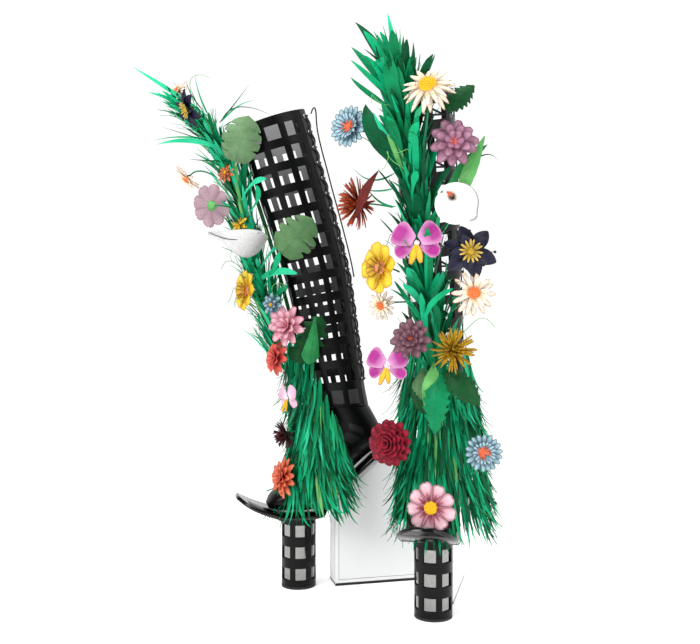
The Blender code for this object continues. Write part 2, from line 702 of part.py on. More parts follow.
def build_flower(prefix, parent, flower):
    """A wired stem that opens into a flat head: one body, with its origin at the stem's root."""
    name, root, head, facing, radius, depth, kind = flower
    root, head, facing = Vector(root), Vector(head), Vector(facing).normalized()
    neck = head - facing * depth
    reach = (neck - root).length * 0.45
    control = neck - facing * reach
    centres, radii, tangents = [], [], []
    for i in range(STEM_RINGS):
        t = i / (STEM_RINGS - 1)
        point = root * (1 - t) ** 2 + control * 2 * t * (1 - t) + neck * t * t
        centres.append(point)
        tangents.append(((control - root) * (1 - t) + (neck - control) * t).normalized())
        radii.append(STEM_RADIUS)
    for forward, size in ((0.25, 0.45), (0.75, 0.96), (1.00, 1.00), (1.15, 0.60), (1.45, 0.32)):
        centres.append(neck + facing * depth * forward)
        tangents.append(facing)
        radii.append(radius * size)
    side = tangents[0].orthogonal().normalized()
    rings = []
    for centre, tangent, size in zip(centres, tangents, radii):
        side = (side - tangent * side.dot(tangent)).normalized()
        up = tangent.cross(side)
        ring = []
        for k in range(FLOWER_SIDES):
            turn = 2 * math.pi * k / FLOWER_SIDES
            ring.append(centre + (side * math.cos(turn) + up * math.sin(turn)) * size)
        rings.append(ring)
    points, faces = loft(rings)
    add_mesh(f"{prefix}_{name}", points, faces, kind, parent, tuple(root))


# ---------------------------------------------------------------- the pair
def build_boot(prefix, place, heading, side_lean, post_turn, flare, garland, flowers):
    parent = empty(f"{prefix}_boot_frame", place, heading)
    build_post(prefix, parent, post_turn)
    build_sole(prefix, parent)
    build_block(prefix, parent)
    build_foot(prefix, parent)
    build_shaft(prefix, parent, side_lean)
    add_tube(f"{prefix}_lace", lace_route(side_lean), LACE_RADIUS, "cord", parent)
    build_garland(prefix, parent, garland, flare)
    for flower in flowers:
        build_flower(prefix, parent, flower)
    return parent


def main():
    clear_scene()
    left = build_boot(
        "left", LEFT_POST, LEFT_HEADING, LEFT_SIDE_LEAN, LEFT_POST_TURN, LEFT_SKIRT_FLARE, LEFT_GARLAND,
        LEFT_FLOWERS,
    )
    build_boot(
        "right", RIGHT_POST, RIGHT_HEADING, RIGHT_SIDE_LEAN, RIGHT_POST_TURN, RIGHT_SKIRT_FLARE,
        RIGHT_GARLAND, RIGHT_FLOWERS,
    )
    loose = even_path(LOOSE_LACE, LOOSE_LACE_POINTS)
    add_tube("left_lace_end", loose, LACE_RADIUS, "cord", left)


main()
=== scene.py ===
"""Looks for the pair of lattice boots with leather grass, leaves and flowers.

Each boot has its own frame, as in the CAD model: u runs forward from the axis of the post, w to
the boot's left, z up from the floor. All sizes are in metres.
"""

import json
import math
import random

import bmesh
import bpy
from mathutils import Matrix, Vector

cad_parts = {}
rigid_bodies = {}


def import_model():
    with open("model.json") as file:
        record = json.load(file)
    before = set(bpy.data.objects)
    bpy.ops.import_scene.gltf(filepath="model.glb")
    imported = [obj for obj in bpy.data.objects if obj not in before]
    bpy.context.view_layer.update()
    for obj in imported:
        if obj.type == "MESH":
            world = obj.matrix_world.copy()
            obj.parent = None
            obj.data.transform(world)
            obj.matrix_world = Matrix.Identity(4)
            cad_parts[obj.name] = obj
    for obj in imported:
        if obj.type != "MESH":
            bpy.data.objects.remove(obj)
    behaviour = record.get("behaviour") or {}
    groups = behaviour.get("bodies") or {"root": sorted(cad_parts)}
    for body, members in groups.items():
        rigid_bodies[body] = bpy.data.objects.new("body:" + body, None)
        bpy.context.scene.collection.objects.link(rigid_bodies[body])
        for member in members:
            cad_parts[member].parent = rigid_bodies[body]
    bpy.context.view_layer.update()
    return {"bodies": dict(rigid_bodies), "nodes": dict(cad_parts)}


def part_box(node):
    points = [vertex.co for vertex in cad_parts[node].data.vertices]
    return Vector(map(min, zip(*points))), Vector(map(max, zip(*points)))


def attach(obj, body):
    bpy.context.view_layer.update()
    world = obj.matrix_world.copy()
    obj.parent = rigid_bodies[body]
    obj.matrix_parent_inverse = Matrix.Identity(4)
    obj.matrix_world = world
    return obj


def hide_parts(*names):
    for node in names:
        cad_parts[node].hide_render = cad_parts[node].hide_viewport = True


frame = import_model()

# ---------------------------------------------------------------- camera and the two boots' frames
CAMERA_PLACE = (0.0569, -1.3784, 0.469)
CAMERA_LENS = 43.714
SENSOR = 36.0
BRIGHT_SIDE = (0.46, 0.86, 0.22)
HEADINGS = {"left": math.radians(-166.4), "right": math.radians(-104.2)}
SIDE_LEANS = {"left": 0.0, "right": -0.02}


class Boot:
    """One boot's frame, placed on the middle of its post's tread."""

    def __init__(self, side):
        low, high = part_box(f"{side}_post_tread")
        self.side = side
        self.body = f"{side}_boot"
        self.x = (low.x + high.x) / 2
        self.y = (low.y + high.y) / 2
        self.cos = math.cos(HEADINGS[side])
        self.sin = math.sin(HEADINGS[side])
        self.lean = SIDE_LEANS[side]

    def point(self, place):
        u, w, z = place
        return Vector((self.x + u * self.cos - w * self.sin, self.y + u * self.sin + w * self.cos, z))

    def direction(self, way):
        u, w, z = way
        return Vector((u * self.cos - w * self.sin, u * self.sin + w * self.cos, z)).normalized()


BOOTS = {side: Boot(side) for side in ("left", "right")}


# ---------------------------------------------------------------- materials
def new_material(name):
    """A material with its node tree and its main shader."""
    made = bpy.data.materials.new(name)
    made.use_nodes = True
    tree = made.node_tree
    return made, tree, tree.nodes["Principled BSDF"]


def object_noise(tree, scale, detail=2.0, roughness=0.5):
    """Soft noise fixed to the object."""
    place = tree.nodes.new("ShaderNodeTexCoord")
    noise = tree.nodes.new("ShaderNodeTexNoise")
    noise.inputs["Scale"].default_value = scale
    noise.inputs["Detail"].default_value = detail
    noise.inputs["Roughness"].default_value = roughness
    tree.links.new(place.outputs["Object"], noise.inputs["Vector"])
    return noise.outputs["Fac"]


def object_cells(tree, scale):
    """Distances in a cell pattern fixed to the object."""
    place = tree.nodes.new("ShaderNodeTexCoord")
    cells = tree.nodes.new("ShaderNodeTexVoronoi")
    cells.inputs["Scale"].default_value = scale
    tree.links.new(place.outputs["Object"], cells.inputs["Vector"])
    return cells.outputs["Distance"]


def ramp(tree, value, stops):
    """A colour looked up from a value; each stop is (place, colour)."""
    made = tree.nodes.new("ShaderNodeValToRGB")
    elements = made.color_ramp.elements
    for i, (place, colour) in enumerate(stops):
        element = elements[i] if i < 2 else elements.new(place)
        element.position = place
        element.color = (*colour, 1.0)
    tree.links.new(value, made.inputs["Fac"])
    return made.outputs["Color"]


def mapped(tree, value, low, high):
    """A value from 0 to 1 mapped to low to high."""
    made = tree.nodes.new("ShaderNodeMapRange")
    made.inputs["To Min"].default_value = low
    made.inputs["To Max"].default_value = high
    tree.links.new(value, made.inputs["Value"])
    return made.outputs["Result"]


def add_bump(tree, shader, height, strength, distance, before=None):
    """Surface relief, added to the relief before it if there is one."""
    made = tree.nodes.new("ShaderNodeBump")
    made.inputs["Strength"].default_value = strength
    made.inputs["Distance"].default_value = distance
    tree.links.new(height, made.inputs["Height"])
    if before is not None:
        tree.links.new(before, made.inputs["Normal"])
    tree.links.new(made.outputs["Normal"], shader.inputs["Normal"])
    return made.outputs["Normal"]


def leather(name, dark, light, rough=(0.28, 0.42), coat=0.0, grain=0.35, specular=0.5):
    """Leather: a patchy colour, pebbled grain and creases, with an even finish on top."""
    made, tree, shader = new_material(name)
    patches = object_noise(tree, 38.0, 4.0, 0.6)
    tree.links.new(ramp(tree, patches, ((0.3, dark), (0.72, light))), shader.inputs["Base Color"])
    tree.links.new(mapped(tree, object_noise(tree, 90.0, 3.0), *rough), shader.inputs["Roughness"])
    shader.inputs["Specular IOR Level"].default_value = specular
    shader.inputs["Coat Weight"].default_value = coat
    shader.inputs["Coat Roughness"].default_value = 0.06
    pebbles = add_bump(tree, shader, object_cells(tree, 900.0), grain, 0.0002)
    add_bump(tree, shader, object_noise(tree, 60.0, 3.0), 0.25, 0.0012, pebbles)
    return made


def dyed(name, dark, light, rough=(0.42, 0.6)):
    """Dyed leather for blades and leaves: colour drifts from piece to piece, with fine fibres."""
    made, tree, shader = new_material(name)
    drift = object_noise(tree, 26.0, 5.0, 0.7)
    tree.links.new(ramp(tree, drift, ((0.28, dark), (0.7, light))), shader.inputs["Base Color"])
    tree.links.new(mapped(tree, object_noise(tree, 140.0, 2.0), *rough), shader.inputs["Roughness"])
    shader.inputs["Specular IOR Level"].default_value = 0.14
    add_bump(tree, shader, object_cells(tree, 1400.0), 0.25, 0.00012)
    return made


def painted():
    """Hand-painted petals: the colour is stored on the mesh, mottled like brushed leather dye."""
    made, tree, shader = new_material("painted_petals")
    stored = tree.nodes.new("ShaderNodeAttribute")
    stored.attribute_name = "tint"
    mix = tree.nodes.new("ShaderNodeMix")
    mix.data_type = "RGBA"
    mix.blend_type = "MULTIPLY"
    mix.inputs["Factor"].default_value = 1.0
    mottled = ramp(
        tree, object_noise(tree, 320.0, 4.0, 0.65),
        ((0.25, (0.74, 0.72, 0.72)), (0.62, (1.0, 1.0, 1.0))),
    )
    tree.links.new(stored.outputs["Color"], mix.inputs["A"])
    tree.links.new(mottled, mix.inputs["B"])
    tree.links.new(mix.outputs["Result"], shader.inputs["Base Color"])
    tree.links.new(mapped(tree, object_noise(tree, 160.0, 2.0), 0.42, 0.62), shader.inputs["Roughness"])
    shader.inputs["Specular IOR Level"].default_value = 0.35
    add_bump(tree, shader, object_cells(tree, 1300.0), 0.3, 0.00015)
    return made


def steel(name, colour, rough):
    """Bare metal with a faintly uneven shade."""
    made, tree, shader = new_material(name)
    shader.inputs["Metallic"].default_value = 1.0
    shade = tuple(0.8 * c for c in colour)
    tree.links.new(
        ramp(tree, object_noise(tree, 220.0, 3.0), ((0.3, shade), (0.7, colour))),
        shader.inputs["Base Color"],
    )
    tree.links.new(mapped(tree, object_noise(tree, 400.0, 2.0), *rough), shader.inputs["Roughness"])
    return made


def grained(name, dark, light, rough, scale, bump):
    """Board or rubber with a coarse grain."""
    made, tree, shader = new_material(name)
    tree.links.new(
        ramp(tree, object_noise(tree, scale, 6.0, 0.7), ((0.3, dark), (0.7, light))),
        shader.inputs["Base Color"],
    )
    shader.inputs["Roughness"].default_value = rough
    add_bump(tree, shader, object_noise(tree, scale * 6, 4.0), bump, 0.0003)
    return made


def shaft_lining_painted_shade():
    """Grey lining leather, painted darker towards the ankle as shade where less light reaches."""
    made, tree, shader = new_material("grey_lining_painted_shade")
    place = tree.nodes.new("ShaderNodeTexCoord")
    split_place = tree.nodes.new("ShaderNodeSeparateXYZ")
    tree.links.new(place.outputs["Object"], split_place.inputs["Vector"])
    height = tree.nodes.new("ShaderNodeMapRange")
    height.inputs["From Min"].default_value = 0.45
    height.inputs["From Max"].default_value = 0.8
    tree.links.new(split_place.outputs["Z"], height.inputs["Value"])
    # Painted shade: the lining runs from grey near the rim to near black lower down.
    shade = ramp(tree, height.outputs["Result"], ((0.0, (0.034, 0.034, 0.036)), (1.0, (0.26, 0.26, 0.265))))
    tree.links.new(shade, shader.inputs["Base Color"])
    tree.links.new(mapped(tree, object_noise(tree, 90.0, 3.0), 0.35, 0.5), shader.inputs["Roughness"])
    shader.inputs["Specular IOR Level"].default_value = 0.3
    add_bump(tree, shader, object_cells(tree, 900.0), 0.15, 0.0002)
    return made


def panel_painted_reflection():
    """The block's mirror panels: an even pale grey, a painted reflection of the white surroundings, with a
    slight gloss that shows no clear reflections.
    """
    made, tree, shader = new_material("panel_painted_reflection")
    shade = ramp(tree, object_noise(tree, 5.0, 2.0), ((0.2, (0.8, 0.81, 0.82)), (0.8, (0.86, 0.86, 0.86))))
    tree.links.new(shade, shader.inputs["Base Color"])
    tree.links.new(mapped(tree, object_noise(tree, 30.0, 2.0), 0.28, 0.4), shader.inputs["Roughness"])
    shader.inputs["Specular IOR Level"].default_value = 0.4
    return made


MATERIALS = {
    "leather": leather(
        "black_leather", (0.001, 0.001, 0.0012), (0.003, 0.003, 0.0035), (0.24, 0.4), 0.0, 0.35, 0.16,
    ),
    "facing": leather(
        "facing_leather", (0.0015, 0.0015, 0.0018), (0.004, 0.004, 0.0045), (0.3, 0.45), 0.0, 0.45, 0.42,
    ),
    # The shaft's grey lining, with painted shade that darkens it towards the ankle.
    "lining": shaft_lining_painted_shade(),
    "patent": leather(
        "patent_black", (0.002, 0.002, 0.002), (0.004, 0.004, 0.004), (0.12, 0.22), 0.1, 0.05, 0.35,
    ),
    # The block's panels: pale grey, a painted reflection of the white surroundings.
    "panel": panel_painted_reflection(),
    # The panel grooves: mid grey, painted shade in the recess.
    "groove": leather("panel_groove_painted_shade", (0.34, 0.34, 0.34), (0.42, 0.42, 0.42), (0.4, 0.5), 0.0, 0.05),
    "tube": steel("dull_mirror_tube", (0.29, 0.29, 0.28), (0.08, 0.16)),
    "chrome": steel("eyelet_metal", (0.6, 0.6, 0.62), (0.15, 0.28)),
    "steel": steel("brushed_steel", (0.5, 0.5, 0.52), (0.25, 0.45)),
    "cord": leather("waxed_cord", (0.003, 0.003, 0.003), (0.007, 0.007, 0.007), (0.35, 0.55), 0.0, 0.8),
    "footbed": leather("footbed_leather", (0.08, 0.055, 0.04), (0.14, 0.1, 0.07), (0.5, 0.7), 0.0, 0.3),
    "board": grained("raw_board", (0.28, 0.18, 0.1), (0.42, 0.3, 0.18), 0.8, 60.0, 0.4),
    "rubber": grained("tread_rubber", (0.012, 0.012, 0.012), (0.022, 0.022, 0.022), 0.75, 120.0, 0.5),
    "deep": dyed("grass_deep", (0.0003, 0.04, 0.012), (0.0006, 0.11, 0.04)),
    "emerald": dyed("grass_emerald", (0.0003, 0.14, 0.045), (0.001, 0.26, 0.1)),
    "bright": dyed("grass_bright", (0.0005, 0.27, 0.1), (0.003, 0.42, 0.19)),
    "mint": dyed("grass_mint", (0.006, 0.42, 0.2), (0.04, 0.58, 0.32)),
    "light": dyed("grass_light", (0.06, 0.3, 0.07), (0.18, 0.47, 0.15)),
    "sage": dyed("leaf_sage", (0.05, 0.13, 0.05), (0.12, 0.24, 0.1)),
    "forest": dyed("leaf_forest", (0.002, 0.04, 0.01), (0.008, 0.085, 0.022)),
    "leaf": dyed("leaf_green", (0.008, 0.14, 0.035), (0.03, 0.26, 0.08)),
    "sage_pale": dyed("leaf_pale_sage", (0.08, 0.16, 0.07), (0.17, 0.29, 0.15)),
    "maroon": dyed("leaf_maroon", (0.06, 0.006, 0.008), (0.15, 0.02, 0.016)),
    "petals": painted(),
}


# ---------------------------------------------------------------- mesh building
class Shape:
    """Collects closed parts, each with its own material and tint, and makes one object of them."""

    def __init__(self):
        self.points = []
        self.faces = []
        self.kinds = []
        self.tints = []

    def add(self, points, faces, kind, tints=None):
        start = len(self.points)
        self.points += points
        self.faces += [tuple(start + i for i in face) for face in faces]
        self.kinds += [kind] * len(faces) if isinstance(kind, str) else kind
        self.tints += tints if tints else [(1.0, 1.0, 1.0)] * len(points)

    def build(self, name, body, replaced=(), bevel=0.0, levels=0):
        mesh = bpy.data.meshes.new(name)
        mesh.from_pydata(self.points, [], self.faces)
        used = sorted(set(self.kinds))
        for kind in used:
            mesh.materials.append(MATERIALS[kind])
        index = {kind: i for i, kind in enumerate(used)}
        mesh.polygons.foreach_set("material_index", [index[kind] for kind in self.kinds])
        if "petals" in used:
            stored = mesh.color_attributes.new("tint", "FLOAT_COLOR", "POINT")
            stored.data.foreach_set("color", [c for tint in self.tints for c in (*tint, 1.0)])
        shape = bmesh.new()
        shape.from_mesh(mesh)
        bmesh.ops.recalc_face_normals(shape, faces=shape.faces)
        shape.to_mesh(mesh)
        shape.free()
        mesh.shade_smooth()
        mesh.set_sharp_from_angle(angle=math.radians(50.0))
        made = bpy.data.objects.new(name, mesh)
        bpy.context.scene.collection.objects.link(made)
        if bevel:
            edge = made.modifiers.new("edge", "BEVEL")
            edge.width = bevel
            edge.segments = 2
            edge.limit_method = "ANGLE"
            edge.angle_limit = math.radians(50.0)
        if levels:
            smooth = made.modifiers.new("smooth", "SUBSURF")
            smooth.levels = levels
            smooth.render_levels = levels
        if replaced:
            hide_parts(*replaced)
        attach(made, body)
        return made


def sheet(outer, inner, is_open=None, wraps=False):
    """A closed sheet between two grids of points, open at the cells that is_open picks."""
    points, faces, _ = sided_sheet(outer, inner, is_open, wraps)
    return points, faces


def sided_sheet(outer, inner, is_open=None, wraps=False):
    """The sheet's points and faces, and the side each face is on: outer, inner or edge."""
    rows = len(outer) - 1
    width = len(outer[0])
    columns = width if wraps else width - 1
    size = len(outer) * width
    points = [p for row in outer for p in row] + [p for row in inner for p in row]

    def at(row, column, side):
        return side * size + row * width + column % width

    def kept(row, column):
        if not 0 <= row < rows:
            return False
        if wraps:
            column %= columns
        elif not 0 <= column < columns:
            return False
        return is_open is None or not is_open(row, column)

    faces, sides = [], []
    for row in range(rows):
        for column in range(columns):
            if not kept(row, column):
                continue
            corners = ((row, column), (row, column + 1), (row + 1, column + 1), (row + 1, column))
            beside = ((row - 1, column), (row, column + 1), (row + 1, column), (row, column - 1))
            faces.append(tuple(at(r, c, 0) for r, c in corners))
            faces.append(tuple(at(r, c, 1) for r, c in reversed(corners)))
            sides += ["outer", "inner"]
            for edge in range(4):
                if not kept(*beside[edge]):
                    one, two = corners[edge], corners[(edge + 1) % 4]
                    faces.append((at(*two, 0), at(*one, 0), at(*one, 1), at(*two, 1)))
                    sides.append("edge")
    used = sorted({i for face in faces for i in face})
    renumbered = {old: new for new, old in enumerate(used)}
    return [points[i] for i in used], [tuple(renumbered[i] for i in face) for face in faces], sides


def thick_sheet(grid, thickness):
    """The two sides of a sheet around a grid of points."""
    rows, columns = len(grid), len(grid[0])
    outer, inner = [], []
    for r in range(rows):
        upper, lower = [], []
        for c in range(columns):
            along = grid[min(r + 1, rows - 1)][c] - grid[max(r - 1, 0)][c]
            across = grid[r][min(c + 1, columns - 1)] - grid[r][max(c - 1, 0)]
            normal = across.cross(along)
            normal = normal.normalized() if normal.length > 1e-9 else Vector((0.0, 0.0, 1.0))
            upper.append(grid[r][c] + normal * thickness / 2)
            lower.append(grid[r][c] - normal * thickness / 2)
        outer.append(upper)
        inner.append(lower)
    return outer, inner


def loft(rings):
    """A closed skin over a row of rings."""
    count = len(rings[0])
    points = [point for ring in rings for point in ring]
    faces = [tuple(reversed(range(count)))]
    for row in range(len(rings) - 1):
        low, high = row * count, (row + 1) * count
        for i in range(count):
            j = (i + 1) % count
            faces.append((low + i, low + j, high + j, high + i))
    top = (len(rings) - 1) * count
    faces.append(tuple(range(top, top + count)))
    return points, faces


def frames_along(points):
    """A side and an up vector at each point of a path, carried along it without twist."""
    last = len(points) - 1
    found = []
    side = None
    for i in range(last + 1):
        tangent = (points[min(i + 1, last)] - points[max(i - 1, 0)]).normalized()
        if side is None:
            side = tangent.orthogonal().normalized()
        side = (side - tangent * side.dot(tangent)).normalized()
        found.append((side, tangent.cross(side)))
    return found


def tube(points, radii, sides=8):
    """A round bar along a path."""
    rings = []
    for point, radius, (side, up) in zip(points, radii, frames_along(points)):
        rings.append([
            point + (side * math.cos(turn) + up * math.sin(turn)) * radius
            for turn in (2 * math.pi * k / sides for k in range(sides))
        ])
    return loft(rings)


def curve_path(points, count):
    """Points at even shares along a Catmull-Rom curve through the given points."""
    made = []
    for i in range(count):
        made.append(Vector(smooth_row([tuple(p) for p in points], i / (count - 1))))
    return made


def smooth_row(rows, share):
    """A row of values at a share along a table of rows, on a Catmull-Rom curve."""
    last = len(rows) - 1
    where = min(max(share, 0.0), 1.0) * last
    index = min(int(where), last - 1)
    t = where - index
    before, after = rows[max(index - 1, 0)], rows[min(index + 2, last)]
    found = []
    for p0, p1, p2, p3 in zip(before, rows[index], rows[index + 1], after):
        bend = (2 * p0 - 5 * p1 + 4 * p2 - p3) * t * t + (3 * p1 - p0 - 3 * p2 + p3) * t ** 3
        found.append(0.5 * (2 * p1 + (p2 - p0) * t + bend))
    return found


# ---------------------------------------------------------------- foot and shaft sections, as in the CAD
# Each section is (back u, back z, front u, front z, half width).
SHAFT_SECTIONS = (
    (-0.129, 0.3195, -0.025, 0.32, 0.0405), (-0.1225, 0.349, -0.022, 0.343, 0.041),
    (-0.113, 0.41, -0.0085, 0.395, 0.043), (-0.1, 0.51, 0.011, 0.49, 0.045),
    (-0.085, 0.59, 0.03, 0.563, 0.046), (-0.035, 0.769, 0.0863, 0.7344, 0.048),
    (-0.012, 0.847, 0.1105, 0.804, 0.048),
)
FOOT_SECTIONS = (
    (0.054, 0.1405, 0.059, 0.15, 0.014), (0.042, 0.137, 0.05, 0.166, 0.031),
    (0.015, 0.1352, 0.026, 0.186, 0.04), (-0.026, 0.1365, 0.008, 0.205, 0.042),
    (-0.06, 0.1715, -0.008, 0.232, 0.039), (-0.098, 0.2065, -0.018, 0.262, 0.036),
    (-0.128, 0.231, -0.024, 0.288, 0.035), (-0.156, 0.249, -0.027, 0.304, 0.036),
    (-0.15, 0.278, -0.027, 0.312, 0.038), (-0.129, 0.317, -0.025, 0.319, 0.0405),
)
LEATHER = 0.002
LEATHER_RIPPLE = 0.0006
SHAFT_COLUMNS = 7
SHAFT_ROWS = 12
WINDOW_SHARE = 0.67
WINDOW_HEIGHT = 0.0245
ROW_PITCH = 0.0397
RIM = 0.016
LATTICE_END = 0.77
FACING_START = 0.774
EYELET_LINE = 0.83
FACING_END = 0.876
EYELETS = 18
EYELET_PITCH = 0.0273
FIRST_EYELET = 0.013
EYELET_RADIUS = 0.0033
EYELET_WIRE = 0.0009
EYELET_HOLE = 0.0026
# The window rows on the boot's right side lie lower: by one row at the rim, by less further down.
SHIFT_LOSS = 0.5
SHIFT_LOSS_LENGTH = 0.36
SEAM_GAP = 0.003


def section_point(section, angle, inset, lean):
    """A point on a section's oval, at an angle from its front, set in from the surface."""
    back = Vector((section[0], 0.0, section[1]))
    front = Vector((section[2], 0.0, section[3]))
    half = (front - back).length / 2 - inset
    along = (front - back).normalized()
    width = section[4] - inset
    point = (back + front) / 2 + along * half * math.cos(angle)
    point.y = width * math.sin(angle) + lean * max(point.z - SHAFT_SECTIONS[0][1], 0.0)
    return point


def girth_angle(section, share):
    """The angle at a share of half the girth, measured from the front; its sign gives the side."""
    half = math.hypot(section[2] - section[0], section[3] - section[1]) / 2
    steps = 90
    lengths = [0.0]
    for i in range(steps):
        angle = math.pi * (i + 0.5) / steps
        lengths.append(lengths[-1] + math.hypot(half * math.sin(angle), section[4] * math.cos(angle)))
    target = abs(share) * lengths[-1]
    k = 0
    while k < steps - 1 and lengths[k + 1] < target:
        k += 1
    part = (target - lengths[k]) / (lengths[k + 1] - lengths[k])
    return math.copysign(math.pi * (k + part) / steps, share)


def shaft_table():
    """Length along the shaft's middle line, from its foot, against the share of its sections."""
    steps = 200
    table = [(0.0, 0.0)]
    before = None
    for i in range(steps + 1):
        row = smooth_row(SHAFT_SECTIONS, i / steps)
        centre = Vector(((row[0] + row[2]) / 2, (row[1] + row[3]) / 2))
        if before is not None:
            table.append((table[-1][0] + (centre - before).length, i / steps))
        before = centre
    return table


SHAFT_TABLE = shaft_table()
SHAFT_LENGTH = SHAFT_TABLE[-1][0]


def shaft_section(distance):
    """The shaft's section at a distance down from its rim."""
    target = SHAFT_LENGTH - distance
    k = 0
    while k < len(SHAFT_TABLE) - 2 and SHAFT_TABLE[k + 1][0] < target:
        k += 1
    low, high = SHAFT_TABLE[k], SHAFT_TABLE[k + 1]
    part = (target - low[0]) / (high[0] - low[0])
    return smooth_row(SHAFT_SECTIONS, low[1] + part * (high[1] - low[1]))


def spaced(marks, counts):
    """Values between marks, with counts[i] steps in stretch i, and the stretch of each step."""
    values, owner = [marks[0]], []
    for i, (low, high) in enumerate(zip(marks, marks[1:])):
        count = counts[i % len(counts)]
        for k in range(count):
            values.append(low + (high - low) * (k + 1) / count)
            owner.append(i)
    return values, owner


def far_shift(distance, share):
    """How much lower the window rows lie on the boot's right side than on its left."""
    turn = min(max(0.5 - share / 0.3, 0.0), 1.0)
    below = (SHAFT_LENGTH - distance) / (SHAFT_LENGTH - RIM - ROW_PITCH * (SHAFT_ROWS - 1) - WINDOW_HEIGHT)
    whole = ROW_PITCH * (1.0 - SHIFT_LOSS * min(distance / SHIFT_LOSS_LENGTH, 1.0))
    return whole * turn * turn * (3 - 2 * turn) * max(min(distance / RIM, below, 1.0), 0.0)


def shaft_skin(boot, distances, shares, inset, sag=0.0):
    """A grid of points on the shaft, with gentle dents as deep as sag."""
    grid = []
    for distance in distances:
        row = []
        for share in shares:
            section = shaft_section(distance + far_shift(distance, share))
            angle = girth_angle(section, share)
            ripple = sag * math.sin(distance * 47.0 + share * 3.0) * math.sin(share * 9.0 + 1.0)
            row.append(boot.point(section_point(section, angle, inset + ripple, boot.lean)))
        grid.append(row)
    return grid


def add_blind_windows(boot, made, shares):
    """Below the cut windows, the rows that still fit are squares that aren't cut through, made dark by the
    lining's painted shade.
    """
    for row in range(SHAFT_ROWS, int((SHAFT_LENGTH - RIM) / ROW_PITCH) + 1):
        top = RIM + ROW_PITCH * row
        steps = [top + WINDOW_HEIGHT * k / 4 for k in range(5)]
        if steps[-1] > SHAFT_LENGTH - SEAM_GAP:
            break
        for column in range(SHAFT_COLUMNS):
            across = shares[6 * column + 2:6 * column + 7]
            raised = shaft_skin(boot, steps, across, -0.0004, LEATHER_RIPPLE)
            sunk = shaft_skin(boot, steps, across, 0.0004, LEATHER_RIPPLE)
            made.add(*sheet(raised, sunk), "lining")


def build_shaft(boot):
    """The die-cut lattice leg, and the two solid facings."""
    pitch = 2 * LATTICE_END / (SHAFT_COLUMNS + (1 - WINDOW_SHARE))
    strip = pitch * (1 - WINDOW_SHARE)
    marks = [-LATTICE_END]
    for _ in range(SHAFT_COLUMNS):
        marks += [marks[-1] + strip, marks[-1] + pitch]
    marks.append(LATTICE_END)
    shares, columns = spaced(marks, (2, 4))
    marks = [0.0]
    for row in range(SHAFT_ROWS):
        top = RIM + ROW_PITCH * row
        marks += [top, top + WINDOW_HEIGHT]
    marks.append(SHAFT_LENGTH)
    distances, rows = spaced(marks, (2, 4))

    def is_open(row, column):
        return rows[row] % 2 == 1 and columns[column] % 2 == 1

    outer = shaft_skin(boot, distances, shares, 0.0, LEATHER_RIPPLE)
    inner = shaft_skin(boot, distances, shares, LEATHER, LEATHER_RIPPLE)
    made = Shape()
    points, faces, sides = sided_sheet(outer, inner, is_open)
    # The inside of the leg gets the lining, which is painted darker towards the ankle as shade.
    made.add(points, faces, ["lining" if side == "inner" else "leather" for side in sides])
    add_blind_windows(boot, made, shares)
    made.build(f"{boot.side}_shaft_lattice", boot.body, [f"{boot.side}_shaft"], bevel=0.0004)

    for side, sign in (("left", 1), ("right", -1)):
        edges = sorted(sign * share for share in (FACING_START, FACING_END))
        shares, _ = spaced(edges, (6,))
        distances, _ = spaced([0.0, SHAFT_LENGTH], (60,))
        outer = shaft_skin(boot, distances, shares, -0.0003)
        inner = shaft_skin(boot, distances, shares, LEATHER)
        made = Shape()
        made.add(*sheet(outer, inner), "facing")
        for distance in [FIRST_EYELET + EYELET_PITCH * row for row in range(EYELETS)]:
            section = shaft_section(distance)
            angle = girth_angle(section, sign * EYELET_LINE)
            middle = boot.point(section_point(section, angle, -0.0006, boot.lean))
            outward = (middle - boot.point(section_point(section, angle, 0.006, boot.lean))).normalized()
            made.add(*torus(middle, outward, EYELET_RADIUS, EYELET_WIRE), "chrome")
            # The eyelet's hole is a disc of the lining, painted darker lower down as shade.
            made.add(*disc(middle - outward * 0.0001, outward, EYELET_HOLE, 0.0006), "lining")
        name = f"{boot.side}_facing_{side}"
        made.build(f"{name}_with_eyelets", boot.body, [name], bevel=0.0004)


def ring_axes(axis):
    """Two directions square to an axis."""
    side = axis.orthogonal().normalized()
    return side, axis.cross(side)


def torus(centre, axis, radius, wire, around=14, across=6):
    """A ring of wire around an axis."""
    side, up = ring_axes(axis)
    points, faces = [], []
    for i in range(around):
        turn = 2 * math.pi * i / around
        out = side * math.cos(turn) + up * math.sin(turn)
        for k in range(across):
            bend = 2 * math.pi * k / across
            points.append(centre + out * (radius + wire * math.cos(bend)) + axis * wire * math.sin(bend))
    for i in range(around):
        for k in range(across):
            j, m = (i + 1) % around, (k + 1) % across
            faces.append((i * across + k, j * across + k, j * across + m, i * across + m))
    return points, faces


def disc(centre, axis, radius, height, sides=12):
    """A flat disc across an axis."""
    side, up = ring_axes(axis)
    rings = []
    for lift in (-height / 2, height / 2):
        rings.append([
            centre + axis * lift + (side * math.cos(turn) + up * math.sin(turn)) * radius
            for turn in (2 * math.pi * k / sides for k in range(sides))
        ])
    return loft(rings)


# ---------------------------------------------------------------- lacing
LACE_RADIUS = 0.00135
LACE_OUTSIDE = (0.0052, 0.0024)
LACE_INSIDE = (0.0042, 0.001)
LACE_BOW = 0.0016
# The waxed cord looks fuller than its core.
LACE_FULLNESS = 1.4
# The chain swings this far to and fro along the girth, in shares, and stands off the leather.
CHAIN_SWING = 0.04
CHAIN_LIFT = 0.0026
LOOSE_LACE = (
    (-0.0165, 0.03, 0.835), (-0.02, 0.0275, 0.844), (-0.0245, 0.023, 0.847),
    (-0.0275, 0.019, 0.84), (-0.029, 0.016, 0.825), (-0.032, 0.014, 0.805),
    (-0.0395, 0.0125, 0.775), (-0.048, 0.012, 0.745), (-0.058, 0.012, 0.708),
    (-0.068, 0.013, 0.672), (-0.078, 0.014, 0.635), (-0.0875, 0.013, 0.6),
    (-0.095, 0.0115, 0.57), (-0.099, 0.01, 0.55),
)


